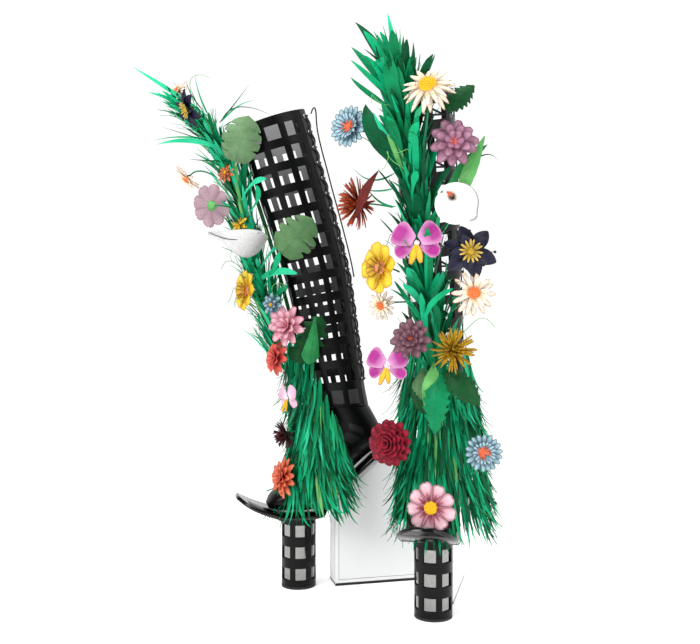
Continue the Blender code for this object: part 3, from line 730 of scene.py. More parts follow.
def build_lacing(boot):
    """The lace across the back, and the chain it makes along each row of eyelets."""
    route = []
    for row in range(EYELETS):
        section = shaft_section(FIRST_EYELET + EYELET_PITCH * row)
        angle = girth_angle(section, EYELET_LINE)
        hole = section_point(section, angle, LEATHER / 2, boot.lean)
        middle = boot.lean * max(hole.z - SHAFT_SECTIONS[0][1], 0.0)
        across = hole.y - middle
        backward = Vector((section[0] - section[2], 0.0, section[1] - section[3])).normalized()
        outside = hole + backward * LACE_OUTSIDE[0]
        inside = hole - backward * LACE_INSIDE[0]
        bowed = outside + backward * LACE_BOW
        for place, w in (
            (inside, across - LACE_INSIDE[1]), (outside, across + LACE_OUTSIDE[1]),
            (bowed, 0.0), (outside, -across - LACE_OUTSIDE[1]), (inside, -across + LACE_INSIDE[1]),
        ):
            route.append(boot.point((place.x, middle + w, place.z)))
    path = curve_path(route, len(route) * 5)
    made = Shape()
    made.add(*tube(path, [LACE_RADIUS * LACE_FULLNESS] * len(path), 8), "cord")
    for sign in (1, -1):
        chain = []
        for row in range(2 * EYELETS - 1):
            section = shaft_section(FIRST_EYELET + EYELET_PITCH * row / 2)
            share = EYELET_LINE + (0.0 if row % 2 == 0 else CHAIN_SWING)
            angle = girth_angle(section, sign * share)
            chain.append(boot.point(section_point(section, angle, -CHAIN_LIFT, boot.lean)))
        path = curve_path(chain, len(chain) * 4)
        made.add(*tube(path, [LACE_RADIUS * LACE_FULLNESS] * len(path), 7), "cord")
    made.build(f"{boot.side}_lacing_cord", boot.body, [f"{boot.side}_lace"])


def build_loose_lace(boot):
    """The free end of the lace, from the top eyelet down the back of the leg."""
    path = [boot.point(place) for place in curve_path(LOOSE_LACE, 60)]
    curve = bpy.data.curves.new("loose_lace_cord", "CURVE")
    curve.dimensions = "3D"
    curve.bevel_depth = LACE_RADIUS
    curve.bevel_resolution = 3
    curve.use_fill_caps = True
    spline = curve.splines.new("POLY")
    spline.points.add(len(path) - 1)
    for slot, place in zip(spline.points, path):
        slot.co = (*place, 1.0)
    curve.materials.append(MATERIALS["cord"])
    made = bpy.data.objects.new("loose_lace_cord", curve)
    bpy.context.scene.collection.objects.link(made)
    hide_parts("left_lace_end")
    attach(made, boot.body)


# ---------------------------------------------------------------- camera, light and floor
def add_stage():
    """Camera, white surroundings, pale floor and three soft lights."""
    scene = bpy.context.scene
    camera = bpy.data.cameras.new("camera")
    camera.lens = CAMERA_LENS
    camera.sensor_width = SENSOR
    camera.sensor_fit = "HORIZONTAL"
    made = bpy.data.objects.new("camera", camera)
    made.location = CAMERA_PLACE
    made.rotation_euler = (math.radians(90.0), 0.0, 0.0)
    scene.collection.objects.link(made)
    scene.camera = made

    world = bpy.data.worlds.new("studio")
    world.use_nodes = True
    tree = world.node_tree
    coordinates = tree.nodes.new("ShaderNodeTexCoord")
    dot = tree.nodes.new("ShaderNodeVectorMath")
    dot.operation = "DOT_PRODUCT"
    dot.inputs[1].default_value = BRIGHT_SIDE
    tree.links.new(coordinates.outputs["Generated"], dot.inputs[0])
    fade = tree.nodes.new("ShaderNodeMapRange")
    fade.interpolation_type = "SMOOTHSTEP"
    for socket, value in (("From Min", -0.25), ("From Max", 0.3), ("To Min", 0.1), ("To Max", 1.05)):
        fade.inputs[socket].default_value = value
    tree.links.new(dot.outputs["Value"], fade.inputs["Value"])
    background = tree.nodes["Background"]
    background.inputs["Color"].default_value = (1.0, 1.0, 1.0, 1.0)
    tree.links.new(fade.outputs["Result"], background.inputs["Strength"])
    scene.world = world
    scene.view_settings.view_transform = "Standard"

    floor, tree, shader = new_material("pale_floor")
    shader.inputs["Base Color"].default_value = (0.9, 0.9, 0.9, 1.0)
    shader.inputs["Roughness"].default_value = 0.85
    shader.inputs["Specular IOR Level"].default_value = 0.1
    shader.inputs["Emission Color"].default_value = (1.0, 1.0, 1.0, 1.0)
    shader.inputs["Emission Strength"].default_value = 0.42
    mesh = bpy.data.meshes.new("floor")
    half = 30.0
    mesh.from_pydata(
        [(-half, -half, 0), (half, -half, 0), (half, half, 0), (-half, half, 0)], [], [(0, 1, 2, 3)],
    )
    mesh.materials.append(floor)
    ground = bpy.data.objects.new("floor", mesh)
    scene.collection.objects.link(ground)

    lights = (
        ("key", (-1.5, -2.0, 2.1), 1.5, 72.0), ("fill", (1.9, -1.8, 1.2), 1.6, 26.0),
        ("top", (0.1, -0.2, 2.6), 1.4, 30.0),
    )
    for name, place, size, power in lights:
        light = bpy.data.lights.new(name, "AREA")
        light.shape = "SQUARE"
        light.size = size
        light.energy = power
        holder = bpy.data.objects.new(name, light)
        holder.location = place
        aim = Vector((0.0, 0.0, 0.42)) - Vector(place)
        holder.rotation_euler = aim.to_track_quat("-Z", "Y").to_euler()
        scene.collection.objects.link(holder)


# ---------------------------------------------------------------- post, sole and block
POST_RADIUS = 0.0305
SLEEVE_WALL = 0.002
POST_COLUMNS = 6
POST_ROWS = 3
POST_WINDOW = 0.021
POST_WINDOW_HALF_TURN = 20.5
POST_PITCH = 0.038
POST_FIRST = 0.015
POST_TURNS = {"left": 28.4, "right": -3.0}
POST_TOP = 0.1248
POST_BOTTOM = 0.0043
SOLE_UNDERSIDE = (
    (0.112, 0.161), (0.1, 0.1525), (0.085, 0.144), (0.065, 0.1355), (0.045, 0.1285),
    (0.033, 0.1251), (-0.033, 0.1251), (-0.048, 0.142), (-0.073, 0.17), (-0.11, 0.201),
    (-0.135, 0.223), (-0.152, 0.232), (-0.169, 0.237),
)
SOLE_HALF_WIDTHS = (
    0.018, 0.0345, 0.043, 0.0465, 0.047, 0.0465, 0.04, 0.035, 0.03, 0.0285,
    0.03, 0.029, 0.015,
)
SOLE_THICKNESS = 0.007
SOLE_EDGE = 0.0022
SOLE_STEPS = 64
BLOCK_FRONT = -0.062
BLOCK_BACK = -0.228
BLOCK_HALF = 0.024
BLOCK_TOP = 0.23
BLOCK_BOTTOM = 0.0048
PANEL_THICKNESS = 0.0025
PANEL_BORDER = 0.0065
PANEL_EDGE = 0.0003
PANEL_DROP = 0.0006
GROOVE_WIDTH = 0.0009
GROOVE_BOTTOM = 0.0005
GROOVE_DEPTH = 0.0008


def build_post(boot):
    """The leather sleeve round the post, cut with square windows."""
    marks = []
    for column in range(POST_COLUMNS):
        middle = 360.0 / POST_COLUMNS * column + POST_TURNS[boot.side]
        marks += [middle - POST_WINDOW_HALF_TURN, middle + POST_WINDOW_HALF_TURN]
    marks.append(marks[0] + 360.0)
    angles, columns = spaced(marks, (6, 3))
    angles.pop()
    marks = [POST_BOTTOM]
    for row in range(POST_ROWS):
        marks += [POST_FIRST + POST_PITCH * row, POST_FIRST + POST_PITCH * row + POST_WINDOW]
    marks.append(POST_TOP)
    levels, rows = spaced(marks, (2, 4))

    def wall(radius):
        turns = [math.radians(angle) for angle in angles]
        return [[boot.point((radius * math.cos(t), radius * math.sin(t), z)) for t in turns] for z in levels]

    def is_open(row, column):
        return rows[row] % 2 == 1 and columns[column] % 2 == 0

    made = Shape()
    made.add(*sheet(wall(POST_RADIUS), wall(POST_RADIUS - SLEEVE_WALL), is_open, True), "leather")
    made.build(f"{boot.side}_post_cover", boot.body, [f"{boot.side}_post_sleeve"], bevel=0.0005)


def build_sole(boot):
    """The duck-billed patent plate, smooth along its length and rounded at its edges."""
    rows = [(u, z, half) for (u, z), half in zip(SOLE_UNDERSIDE, SOLE_HALF_WIDTHS)]
    rings = []
    steps = [smooth_row(rows, i / SOLE_STEPS) for i in range(SOLE_STEPS + 1)]
    for i, (u, z, half) in enumerate(steps):
        before, after = steps[max(i - 1, 0)], steps[min(i + 1, SOLE_STEPS)]
        slope = Vector((before[0] - after[0], before[1] - after[1])).normalized()
        normal = Vector((-slope.y, slope.x))
        ring = []
        flat, top = half - SOLE_EDGE, SOLE_THICKNESS - SOLE_EDGE
        for w, lift in (
            (-flat, 0.0), (flat, 0.0), (half, SOLE_EDGE), (half, top),
            (flat, SOLE_THICKNESS), (-flat, SOLE_THICKNESS), (-half, top), (-half, SOLE_EDGE),
        ):
            ring.append(boot.point((u + normal.x * lift, w, z + normal.y * lift)))
        rings.append(ring)
    made = Shape()
    made.add(*loft(rings), "patent")
    made.build(f"{boot.side}_sole", boot.body, [f"{boot.side}_sole_plate"], bevel=0.0006)


def sole_height(u):
    """Height of the sole plate's underside at a place along the foot."""
    for (u0, z0), (u1, z1) in zip(SOLE_UNDERSIDE, SOLE_UNDERSIDE[1:]):
        if u1 <= u <= u0:
            return z0 + (z1 - z0) * (u0 - u) / (u0 - u1)
    return BLOCK_TOP


def inset_outline(outline, distance):
    """The outline moved inwards by a distance, corner by corner."""
    made = []
    count = len(outline)
    area = sum(a[0] * b[1] - b[0] * a[1] for a, b in zip(outline, outline[1:] + outline[:1]))
    turn = 1.0 if area > 0 else -1.0
    for i in range(count):
        before, here, after = (Vector(outline[(i + k) % count]) for k in (-1, 0, 1))
        one, two = (here - before).normalized(), (after - here).normalized()
        normal_one, normal_two = Vector((-one.y, one.x)) * turn, Vector((-two.y, two.x)) * turn
        middle = (normal_one + normal_two).normalized()
        made.append(here + middle * distance / max(middle.dot(normal_one), 0.4))
    return made


def build_panel(boot, name, outline, place):
    """A panel with a groove round its border; place turns (along, up, out) into the boot's frame."""
    made = Shape()
    groove = inset_outline(outline, PANEL_BORDER - GROOVE_WIDTH)
    inner = inset_outline(outline, PANEL_BORDER)

    def ring(points, out):
        return [boot.point(place(along, up, out)) for along, up in points]

    bottom = inset_outline(outline, PANEL_BORDER - GROOVE_BOTTOM)
    rings = [
        ring(outline, -PANEL_THICKNESS), ring(outline, -PANEL_EDGE),
        ring(inset_outline(outline, PANEL_EDGE), 0.0), ring(groove, 0.0),
        ring(bottom, -GROOVE_DEPTH), ring(inner, 0.0),
    ]
    points, faces = loft(rings)
    count = len(outline)
    kinds = ["panel"] * len(faces)
    # The groove's faces take the grey painted shade.
    for row in (3, 4):
        for i in range(count):
            kinds[1 + row * count + i] = "groove"
    made.add(points, faces, kinds)
    made.build(f"{boot.side}_bordered_{name}", boot.body, [f"{boot.side}_{name}"])


def build_block(boot):
    """The pale panels round the block, each with a narrow border."""
    outline = [(BLOCK_FRONT, BLOCK_BOTTOM), (BLOCK_FRONT, sole_height(BLOCK_FRONT) - PANEL_DROP)]
    over = [(u, z) for u, z in SOLE_UNDERSIDE if BLOCK_BACK < u < BLOCK_FRONT and z < BLOCK_TOP]
    outline += [(u, z - PANEL_DROP) for u, z in over]
    outline += [
        (SOLE_UNDERSIDE[-2][0] + 0.0015, BLOCK_TOP - PANEL_DROP), (BLOCK_BACK, BLOCK_TOP - PANEL_DROP),
        (BLOCK_BACK, BLOCK_BOTTOM),
    ]
    build_panel(boot, "panel_left", outline, lambda u, z, out: (u, BLOCK_HALF + out, z))
    build_panel(boot, "panel_right", outline, lambda u, z, out: (u, -BLOCK_HALF - out, z))
    half = BLOCK_HALF - PANEL_THICKNESS - PANEL_EDGE
    top = sole_height(BLOCK_FRONT) - PANEL_DROP
    outline = [(-half, BLOCK_BOTTOM), (half, BLOCK_BOTTOM), (half, top), (-half, top)]
    build_panel(boot, "panel_front", outline, lambda w, z, out: (BLOCK_FRONT + out, w, z))
    top = BLOCK_TOP - PANEL_DROP
    outline = [(-half, BLOCK_BOTTOM), (half, BLOCK_BOTTOM), (half, top), (-half, top)]
    build_panel(boot, "panel_back", outline, lambda w, z, out: (BLOCK_BACK - out, w, z))


UPPER_ROWS = 54
UPPER_SIDES = 72
UPPER_WINDOW_ROWS = range(10, 46)
# A window and its strip, and the window alone, in rows and sides of the upper's grid.
UPPER_ROW_PITCH, UPPER_ROW_WINDOW = 6, 4
UPPER_SIDE_PITCH, UPPER_SIDE_WINDOW = 8, 5
UPPER_SOLID_SIDES = 9


def build_upper(boot):
    """The foot: a lining shell with the lattice leather over it, cut with the same windows."""
    sections = [smooth_row(FOOT_SECTIONS, i / UPPER_ROWS) for i in range(UPPER_ROWS + 1)]
    turns = [2 * math.pi * (k + 0.5) / UPPER_SIDES for k in range(UPPER_SIDES)]

    def skin(inset):
        ovals = [[section_point(section, turn, inset, 0.0) for turn in turns] for section in sections]
        return [[boot.point(place) for place in oval] for oval in ovals]

    lining = skin(0.0012)
    inside = skin(LEATHER)
    made = Shape()
    made.add(*loft(lining + inside[::-1]), "facing")

    def is_open(row, column):
        under = abs(column + 1 - UPPER_SIDES / 2) < UPPER_SOLID_SIDES
        cut_row = row in UPPER_WINDOW_ROWS and row % UPPER_ROW_PITCH < UPPER_ROW_WINDOW
        return cut_row and column % UPPER_SIDE_PITCH < UPPER_SIDE_WINDOW and not under

    cover = sheet(skin(0.0), skin(0.0011), is_open, True)
    made.add(*cover, "leather")
    made.build(f"{boot.side}_foot_upper", boot.body, [f"{boot.side}_upper"], bevel=0.0003)


# ---------------------------------------------------------------- blades of grass
BLADE_STEPS = 9


def blade_path(root, way, length, pull, flick):
    """A path that starts along way, is drawn towards pull, and turns towards flick at its end."""
    points = [root]
    heading = way.normalized()
    step = length / BLADE_STEPS
    for i in range(BLADE_STEPS):
        share = (i + 1) / BLADE_STEPS
        heading = heading + pull * (1.0 / BLADE_STEPS)
        heading = (heading + flick * (share ** 2) * (1.8 / BLADE_STEPS)).normalized()
        points.append(points[-1] + heading * step)
    return points


# Half widths along a blade, from its root to its tip.
BLADE_SHAPES = {
    "grass": (0.12, 0.66, 0.92, 1.0, 0.98, 0.9, 0.76, 0.58, 0.36, 0.04),
    "needle": (0.2, 0.75, 0.9, 0.85, 0.75, 0.62, 0.5, 0.36, 0.2, 0.03),
    "strap": (0.5, 0.72, 0.88, 0.96, 1.0, 1.0, 0.98, 0.92, 0.74, 0.22),
    "spoon": (0.26, 0.28, 0.3, 0.36, 0.5, 0.74, 0.96, 1.0, 0.84, 0.2),
    "lance": (0.22, 0.55, 0.82, 0.97, 1.0, 0.94, 0.8, 0.58, 0.32, 0.03),
}


def blade_axes(path, index, face):
    """Directions across a blade and out of it, at one point of its path."""
    tangent = (path[min(index + 1, len(path) - 1)] - path[max(index - 1, 0)]).normalized()
    side = tangent.cross(face)
    if side.length < 0.05:
        side = tangent.orthogonal()
    side.normalize()
    return side, side.cross(tangent)


def add_blade(made, path, width, face, kind, shape, thickness=0.0007, fold=0.2):
    """One blade: a thin closed strip with a shallow fold down its middle, turned towards face."""
    outline = BLADE_SHAPES[shape]
    last = len(path) - 1
    rings = []
    for i, point in enumerate(path):
        side, normal = blade_axes(path, i, face)
        share = i / last * (len(outline) - 1)
        k = min(int(share), len(outline) - 2)
        half = width / 2 * (outline[k] + (outline[k + 1] - outline[k]) * (share - k))
        dip = normal * half * fold
        rings.append([
            point - side * half, point - dip + normal * thickness / 2,
            point + side * half, point - dip - normal * thickness / 2,
        ])
    made.add(*loft(rings), kind)


LEAF_STEPS = 48
LEAF_COLUMNS = 12
LEAF_THICKNESS = 0.0012
LEAF_CUP = 0.3


def add_leaf(made, path, width, face, kind, profile):
    """A cupped leaf along a path, whose half width at each share of its length comes from profile."""
    last = len(path) - 1
    grid = []
    for i, point in enumerate(path):
        side, normal = blade_axes(path, i, face)
        row = []
        for k in range(LEAF_COLUMNS + 1):
            across = 2 * k / LEAF_COLUMNS - 1
            half = width / 2 * max(profile(i / last, across), 0.02)
            ridge = 0.0005 * math.cos((abs(across) * 0.9 - i / last * 1.6) * 26.0) * (abs(across) > 0.1)
            lift = -LEAF_CUP * half * across ** 2 + ridge
            row.append(point + side * half * across + normal * lift)
        grid.append(row)
    outer, inner = thick_sheet(grid, LEAF_THICKNESS)
    made.add(*sheet(outer, inner), kind)
    radii = [0.0008 * (1 - 0.8 * i / last) for i in range(last + 1)]
    for skin in (outer, inner):
        rib = [row[LEAF_COLUMNS // 2] for row in skin]
        made.add(*tube(rib, radii, 5), kind)


def serrated(share, _across):
    """A leaf with seven saw teeth."""
    body = math.sin(math.pi * min(share * 0.92 + 0.06, 1.0)) ** 0.8
    return body * (1.0 - 0.34 * ((share * 7.0) % 1.0))


def split(cuts, breadth):
    """A broad round leaf with cuts; each cut is (share of length, side, depth)."""
    def profile(share, across):
        body = max(1.0 - abs(1.88 * share - 0.86) ** 2.4, 0.0) ** 0.55
        for place, side, depth in cuts:
            if side * across > 0:
                body *= 1.0 - depth * max(1.0 - abs(share - place) / breadth, 0.0)
        return body
    return profile


def pointed(share, _across):
    """A plain leaf, widest near its middle."""
    return math.sin(math.pi * min(share * 0.86 + 0.12, 1.0)) ** 1.1


def wedge(share, _across):
    """Widest near its root and drawn to a long point."""
    return min(share / 0.16, 1.0) ** 0.6 * (1.0 - share) ** 0.9 * 1.15 + 0.01


# Each garland row is (u, w, z), from the bottom of the grass up to its tip.
GARLANDS = {
    "left": (
        (0.024, 0.0, 0.385), (0.045, 0.0, 0.46), (0.063, 0.0, 0.535), (0.088, 0.0, 0.624),
        (0.109, 0.0, 0.7), (0.14, 0.0, 0.77), (0.195, 0.0, 0.83), (0.282, 0.0, 0.903),
    ),
    "right": (
        (0.024, 0.012, 0.385), (0.045, 0.006, 0.46), (0.063, -0.002, 0.535),
        (0.088, -0.008, 0.624), (0.109, -0.014, 0.7), (0.132, -0.02, 0.77),
        (0.145, -0.028, 0.82), (0.162, -0.044, 0.909),
    ),
}


def garland_place(boot, share):
    """A point on the garland's middle line and the line's direction there, in the boot's frame."""
    rows = GARLANDS[boot.side]
    here = Vector(smooth_row(rows, share))
    above = Vector(smooth_row(rows, min(share + 0.02, 1.0)))
    below = Vector(smooth_row(rows, max(share - 0.02, 0.0)))
    return here, (above - below).normalized()


def pick(draw, weights):
    """One key of weights, drawn in proportion to its weight."""
    total = sum(weights.values())
    mark = draw.random() * total
    for key, weight in weights.items():
        mark -= weight
        if mark <= 0:
            return key
    return key


def around(tangent, angle):
    """A direction square to tangent: 0 is forward and up, 90 degrees the boot's left."""
    side = Vector((0.0, 1.0, 0.0))
    front = side.cross(tangent).normalized()
    side = tangent.cross(front).normalized()
    return front * math.cos(angle) + side * math.sin(angle)


# Blades of each spray, given one by one: (root, middle, tip, width, shape, colour), in the boot's frame.
SPRAYS = {
    "left": (
        ((0.161, 0.01, 0.825), (0.227, 0.012, 0.866), (0.288, 0.006, 0.903), 0.0075, "lance", "mint"),
        ((0.17, -0.01, 0.832), (0.22, -0.016, 0.856), (0.262, -0.02, 0.868), 0.008, "lance", "mint"),
        ((0.166, 0.018, 0.815), (0.205, 0.024, 0.838), (0.238, 0.024, 0.86), 0.006, "strap", "bright"),
        ((0.158, 0.0, 0.826), (0.175, 0.004, 0.862), (0.183, 0.008, 0.896), 0.0034, "needle", "bright"),
        ((0.17, 0.006, 0.836), (0.19, 0.01, 0.862), (0.199, 0.012, 0.886), 0.0026, "needle", "deep"),
        ((0.142, 0.004, 0.815), (0.116, 0.012, 0.848), (0.091, 0.02, 0.882), 0.0028, "needle", "deep"),
        ((0.138, -0.004, 0.818), (0.108, 0.0, 0.848), (0.079, 0.006, 0.858), 0.0032, "needle", "bright"),
        ((0.138, 0.008, 0.818), (0.106, 0.02, 0.842), (0.046, 0.026, 0.826), 0.0026, "needle", "deep"),
        ((0.136, 0.012, 0.806), (0.118, 0.024, 0.816), (0.1, 0.03, 0.813), 0.0024, "needle", "emerald"),
        ((0.132, 0.016, 0.766), (0.19, 0.034, 0.776), (0.248, 0.038, 0.766), 0.009, "lance", "mint"),
        ((0.14, 0.006, 0.784), (0.205, 0.014, 0.786), (0.253, 0.014, 0.777), 0.004, "needle", "bright"),
        ((0.14, 0.014, 0.774), (0.195, 0.03, 0.786), (0.24, 0.034, 0.797), 0.0024, "needle", "deep"),
        ((0.124, 0.016, 0.748), (0.16, 0.032, 0.744), (0.196, 0.038, 0.744), 0.0036, "needle", "deep"),
        ((0.12, 0.01, 0.736), (0.15, 0.022, 0.742), (0.186, 0.026, 0.758), 0.0044, "grass", "emerald"),
        ((0.104, 0.022, 0.68), (0.088, 0.04, 0.706), (0.066, 0.05, 0.714), 0.01, "spoon", "mint"),
        ((0.096, 0.022, 0.655), (0.08, 0.042, 0.678), (0.082, 0.05, 0.702), 0.009, "spoon", "bright"),
        ((0.072, 0.024, 0.56), (0.05, 0.046, 0.596), (0.026, 0.058, 0.6), 0.012, "spoon", "mint"),
        ((0.07, 0.024, 0.545), (0.046, 0.048, 0.556), (0.014, 0.06, 0.552), 0.012, "strap", "mint"),
        ((0.066, 0.022, 0.53), (0.052, 0.046, 0.56), (0.044, 0.058, 0.588), 0.011, "spoon", "bright"),
        ((0.06, 0.022, 0.505), (0.044, 0.046, 0.52), (0.03, 0.058, 0.532), 0.01, "spoon", "emerald"),
    ),
    "right": (
        ((0.134, -0.034, 0.812), (0.142, -0.062, 0.868), (0.14, -0.094, 0.908), 0.016, "lance", "deep"),
        ((0.132, -0.04, 0.8), (0.142, -0.072, 0.842), (0.14, -0.1, 0.872), 0.012, "lance", "emerald"),
        ((0.134, -0.034, 0.788), (0.146, -0.07, 0.824), (0.144, -0.1, 0.852), 0.009, "grass", "bright"),
        ((0.132, -0.044, 0.782), (0.142, -0.078, 0.806), (0.14, -0.101, 0.828), 0.008, "grass", "emerald"),
        ((0.136, -0.04, 0.836), (0.146, -0.064, 0.872), (0.146, -0.08, 0.892), 0.011, "lance", "bright"),
        ((0.132, -0.03, 0.822), (0.142, -0.038, 0.88), (0.14, -0.046, 0.918), 0.0075, "lance", "mint"),
        ((0.132, -0.024, 0.822), (0.136, -0.024, 0.856), (0.134, -0.023, 0.884), 0.0065, "lance", "deep"),
        ((0.134, -0.015, 0.812), (0.138, -0.008, 0.834), (0.136, -0.004, 0.852), 0.006, "lance", "emerald"),
        ((0.134, 0.002, 0.812), (0.14, 0.014, 0.832), (0.138, 0.024, 0.853), 0.0056, "lance", "deep"),
        ((0.14, -0.03, 0.778), (0.16, -0.046, 0.826), (0.158, -0.056, 0.846), 0.022, "strap", "bright"),
        ((0.144, -0.024, 0.762), (0.166, -0.034, 0.806), (0.164, -0.04, 0.84), 0.02, "strap", "emerald"),
        ((0.13, -0.03, 0.694), (0.156, -0.062, 0.744), (0.15, -0.076, 0.784), 0.028, "lance", "deep"),
        ((0.134, -0.024, 0.704), (0.16, -0.036, 0.75), (0.158, -0.052, 0.786), 0.015, "lance", "emerald"),
        ((0.128, -0.014, 0.696), (0.158, -0.008, 0.728), (0.164, 0.004, 0.75), 0.012, "spoon", "bright"),
        ((0.124, -0.013, 0.648), (0.148, -0.006, 0.668), (0.152, -0.001, 0.684), 0.011, "spoon", "bright"),
        ((0.14, -0.016, 0.756), (0.164, -0.004, 0.786), (0.152, 0.022, 0.778), 0.0095, "strap", "bright"),
        ((0.112, 0.04, 0.668), (0.118, 0.068, 0.7), (0.116, 0.096, 0.724), 0.016, "lance", "leaf"),
        ((0.11, 0.04, 0.66), (0.114, 0.082, 0.706), (0.11, 0.11, 0.702), 0.0036, "needle", "deep"),
        ((0.112, -0.04, 0.69), (0.116, -0.074, 0.68), (0.112, -0.104, 0.7), 0.0034, "needle", "emerald"),
        ((0.11, -0.04, 0.668), (0.114, -0.072, 0.664), (0.11, -0.108, 0.674), 0.003, "needle", "bright"),
        ((0.108, -0.04, 0.64), (0.114, -0.066, 0.65), (0.11, -0.09, 0.68), 0.004, "needle", "emerald"),
        ((0.088, 0.002, 0.455), (0.094, 0.0, 0.48), (0.098, -0.004, 0.512), 0.01, "strap", "bright"),
        ((0.092, 0.002, 0.476), (0.1, 0.016, 0.5), (0.098, 0.044, 0.518), 0.0085, "strap", "bright"),
        ((0.09, -0.002, 0.47), (0.096, -0.022, 0.5), (0.096, -0.044, 0.53), 0.006, "strap", "emerald"),
    ),
}
# How many blades fill the column and the spray, how far they lean out, and their widths.
COLUMNS = {
    "left": {
        "seed": 11, "count": 560, "sprayed": 46, "behind": 0.55, "spread": 0.46, "reach": 0.02,
        "width": (0.004, 0.0095), "length": (0.038, 0.08), "view": (0.25, 0.95, 0.1),
    },
    "right": {
        "seed": 23, "count": 430, "sprayed": 90, "behind": 0.1, "spread": 0.46, "reach": 0.018,
        "width": (0.0065, 0.016), "length": (0.055, 0.105), "view": (0.95, 0.15, 0.1),
    },
}
MIXES = {
    "left": {"deep": 1.8, "emerald": 3.0, "bright": 3.8, "mint": 3.4, "light": 0.7},
    "right": {"deep": 2.6, "emerald": 4.2, "bright": 3.2, "mint": 0.6, "light": 0.15},
}


def drawn_curve(root, control, tip, count=12):
    """A curve from root to tip that leaves and arrives along the lines to control."""
    shares = [i / count for i in range(count + 1)]
    return [root * (1 - t) ** 2 + control * 2 * t * (1 - t) + tip * t * t for t in shares]


def bent(root, middle, tip):
    """A smooth curve through three points."""
    root, middle, tip = Vector(root), Vector(middle), Vector(tip)
    return drawn_curve(root, middle * 2 - (root + tip) / 2, tip)


def grow(made, boot, path, width, face, kind, shape, *thickness_and_fold):
    """A blade on a path and facing a way that are given in the boot's frame."""
    points = [boot.point(place) for place in path]
    add_blade(made, points, width, boot.direction(face), kind, shape, *thickness_and_fold)


def grow_column(made, boot, draw):
    """The dense upright grass along the shin, thinner towards its top."""
    facts = COLUMNS[boot.side]
    for _ in range(facts["count"]):
        share = draw.random() ** 0.9 * 0.86
        here, tangent = garland_place(boot, share)
        spreads = share > 0.5 or draw.random() < facts["behind"]
        angle = math.radians(draw.uniform(-175.0, 175.0) if spreads else draw.gauss(10.0, 62.0))
        out = around(tangent, angle)
        thin = 1.0 - 0.75 * max(share - 0.55, 0.0) / 0.31
        root = here + out * draw.uniform(0.0, facts["reach"]) * thin
        lean = facts["spread"] * draw.uniform(0.15, 1.0) ** 0.8
        length = draw.uniform(*facts["length"]) * (0.75 + 0.25 * thin)
        pull = out * draw.uniform(-0.35, 0.45)
        flick = out * draw.uniform(-0.5, 0.9)
        path = blade_path(root, tangent + out * lean, length, pull, flick)
        shape = pick(draw, {"grass": 4, "strap": 2.5, "lance": 3, "spoon": 1.5, "needle": 2})
        width = draw.uniform(*facts["width"]) * (0.5 if shape == "needle" else 1.0)
        face = out + Vector((draw.uniform(-0.5, 0.5), draw.uniform(-0.5, 0.5), draw.uniform(-0.2, 0.4)))
        grow(made, boot, path, width, face, pick(draw, MIXES[boot.side]), shape)


def grow_spray(made, boot, draw):
    """Thinner blades that open out above the column."""
    low, reach = 0.62, 0.28
    for _ in range(COLUMNS[boot.side]["sprayed"]):
        share = draw.uniform(low, 0.9)
        here, tangent = garland_place(boot, share)
        out = around(tangent, math.radians(draw.uniform(-180.0, 180.0)))
        lean = abs(draw.gauss(0.0, 0.22))
        room = 1.0 - 0.8 * (share - low) / reach
        length = draw.uniform(0.055, 0.115) * max(room, 0.35)
        pull = out * draw.uniform(-0.2, 0.3)
        flick = out * draw.uniform(-0.4, 0.6)
        path = blade_path(here, tangent + out * lean, length, pull, flick)
        face = out + Vector((draw.uniform(-0.5, 0.5), draw.uniform(-0.5, 0.5), 0.0))
        shape = pick(draw, {"grass": 3, "needle": 4, "lance": 2})
        width = draw.uniform(0.0022, 0.0068)
        grow(made, boot, path, width, face, pick(draw, MIXES[boot.side]), shape)


def build_plume(boot):
    """The upright grass: the column, the spray and the blades that are listed one by one."""
    facts = COLUMNS[boot.side]
    draw = random.Random(facts["seed"])
    made = Shape()
    grow_column(made, boot, draw)
    grow_spray(made, boot, draw)
    for root, middle, tip, width, shape, kind in SPRAYS[boot.side]:
        grow(made, boot, bent(root, middle, tip), width, facts["view"], kind, shape, 0.0008, 0.3)
    made.build(f"{boot.side}_upright_grass", boot.body, [f"{boot.side}_grass_plume"])


# The hanging grass: the angles it covers, and how far its lower edge stands out on each side.
SKIRTS = {
    "left": {
        "seed": 5, "angles": (-70.0, 118.0), "sweep": Vector((-0.4, 0.04, 0.0)),
        "left": 0.004, "right": 0.0, "back": -0.036, "widens": 0.36,
    },
    "right": {
        "seed": 7, "angles": (-88.0, 112.0), "sweep": Vector((0.02, 0.1, 0.0)),
        "left": 0.012, "right": -0.006, "back": -0.06, "widens": 0.2,
    },
}
SKIRT_BLADES = 1150
# At this height the roots end at a skirt's back, and below it that edge moves back as it widens.
SKIRT_TOP = 0.36
# No blade hangs much below this height.
SKIRT_FOOT = 0.12
# Each row is (z, centre u, half depth, half width) around ankle and foot.
SKIRT_ROWS = (
    (0.43, -0.042, 0.056, 0.04), (0.355, -0.062, 0.064, 0.05),
    (0.3, -0.06, 0.06, 0.054), (0.24, -0.048, 0.06, 0.056), (0.19, -0.034, 0.064, 0.058),
)


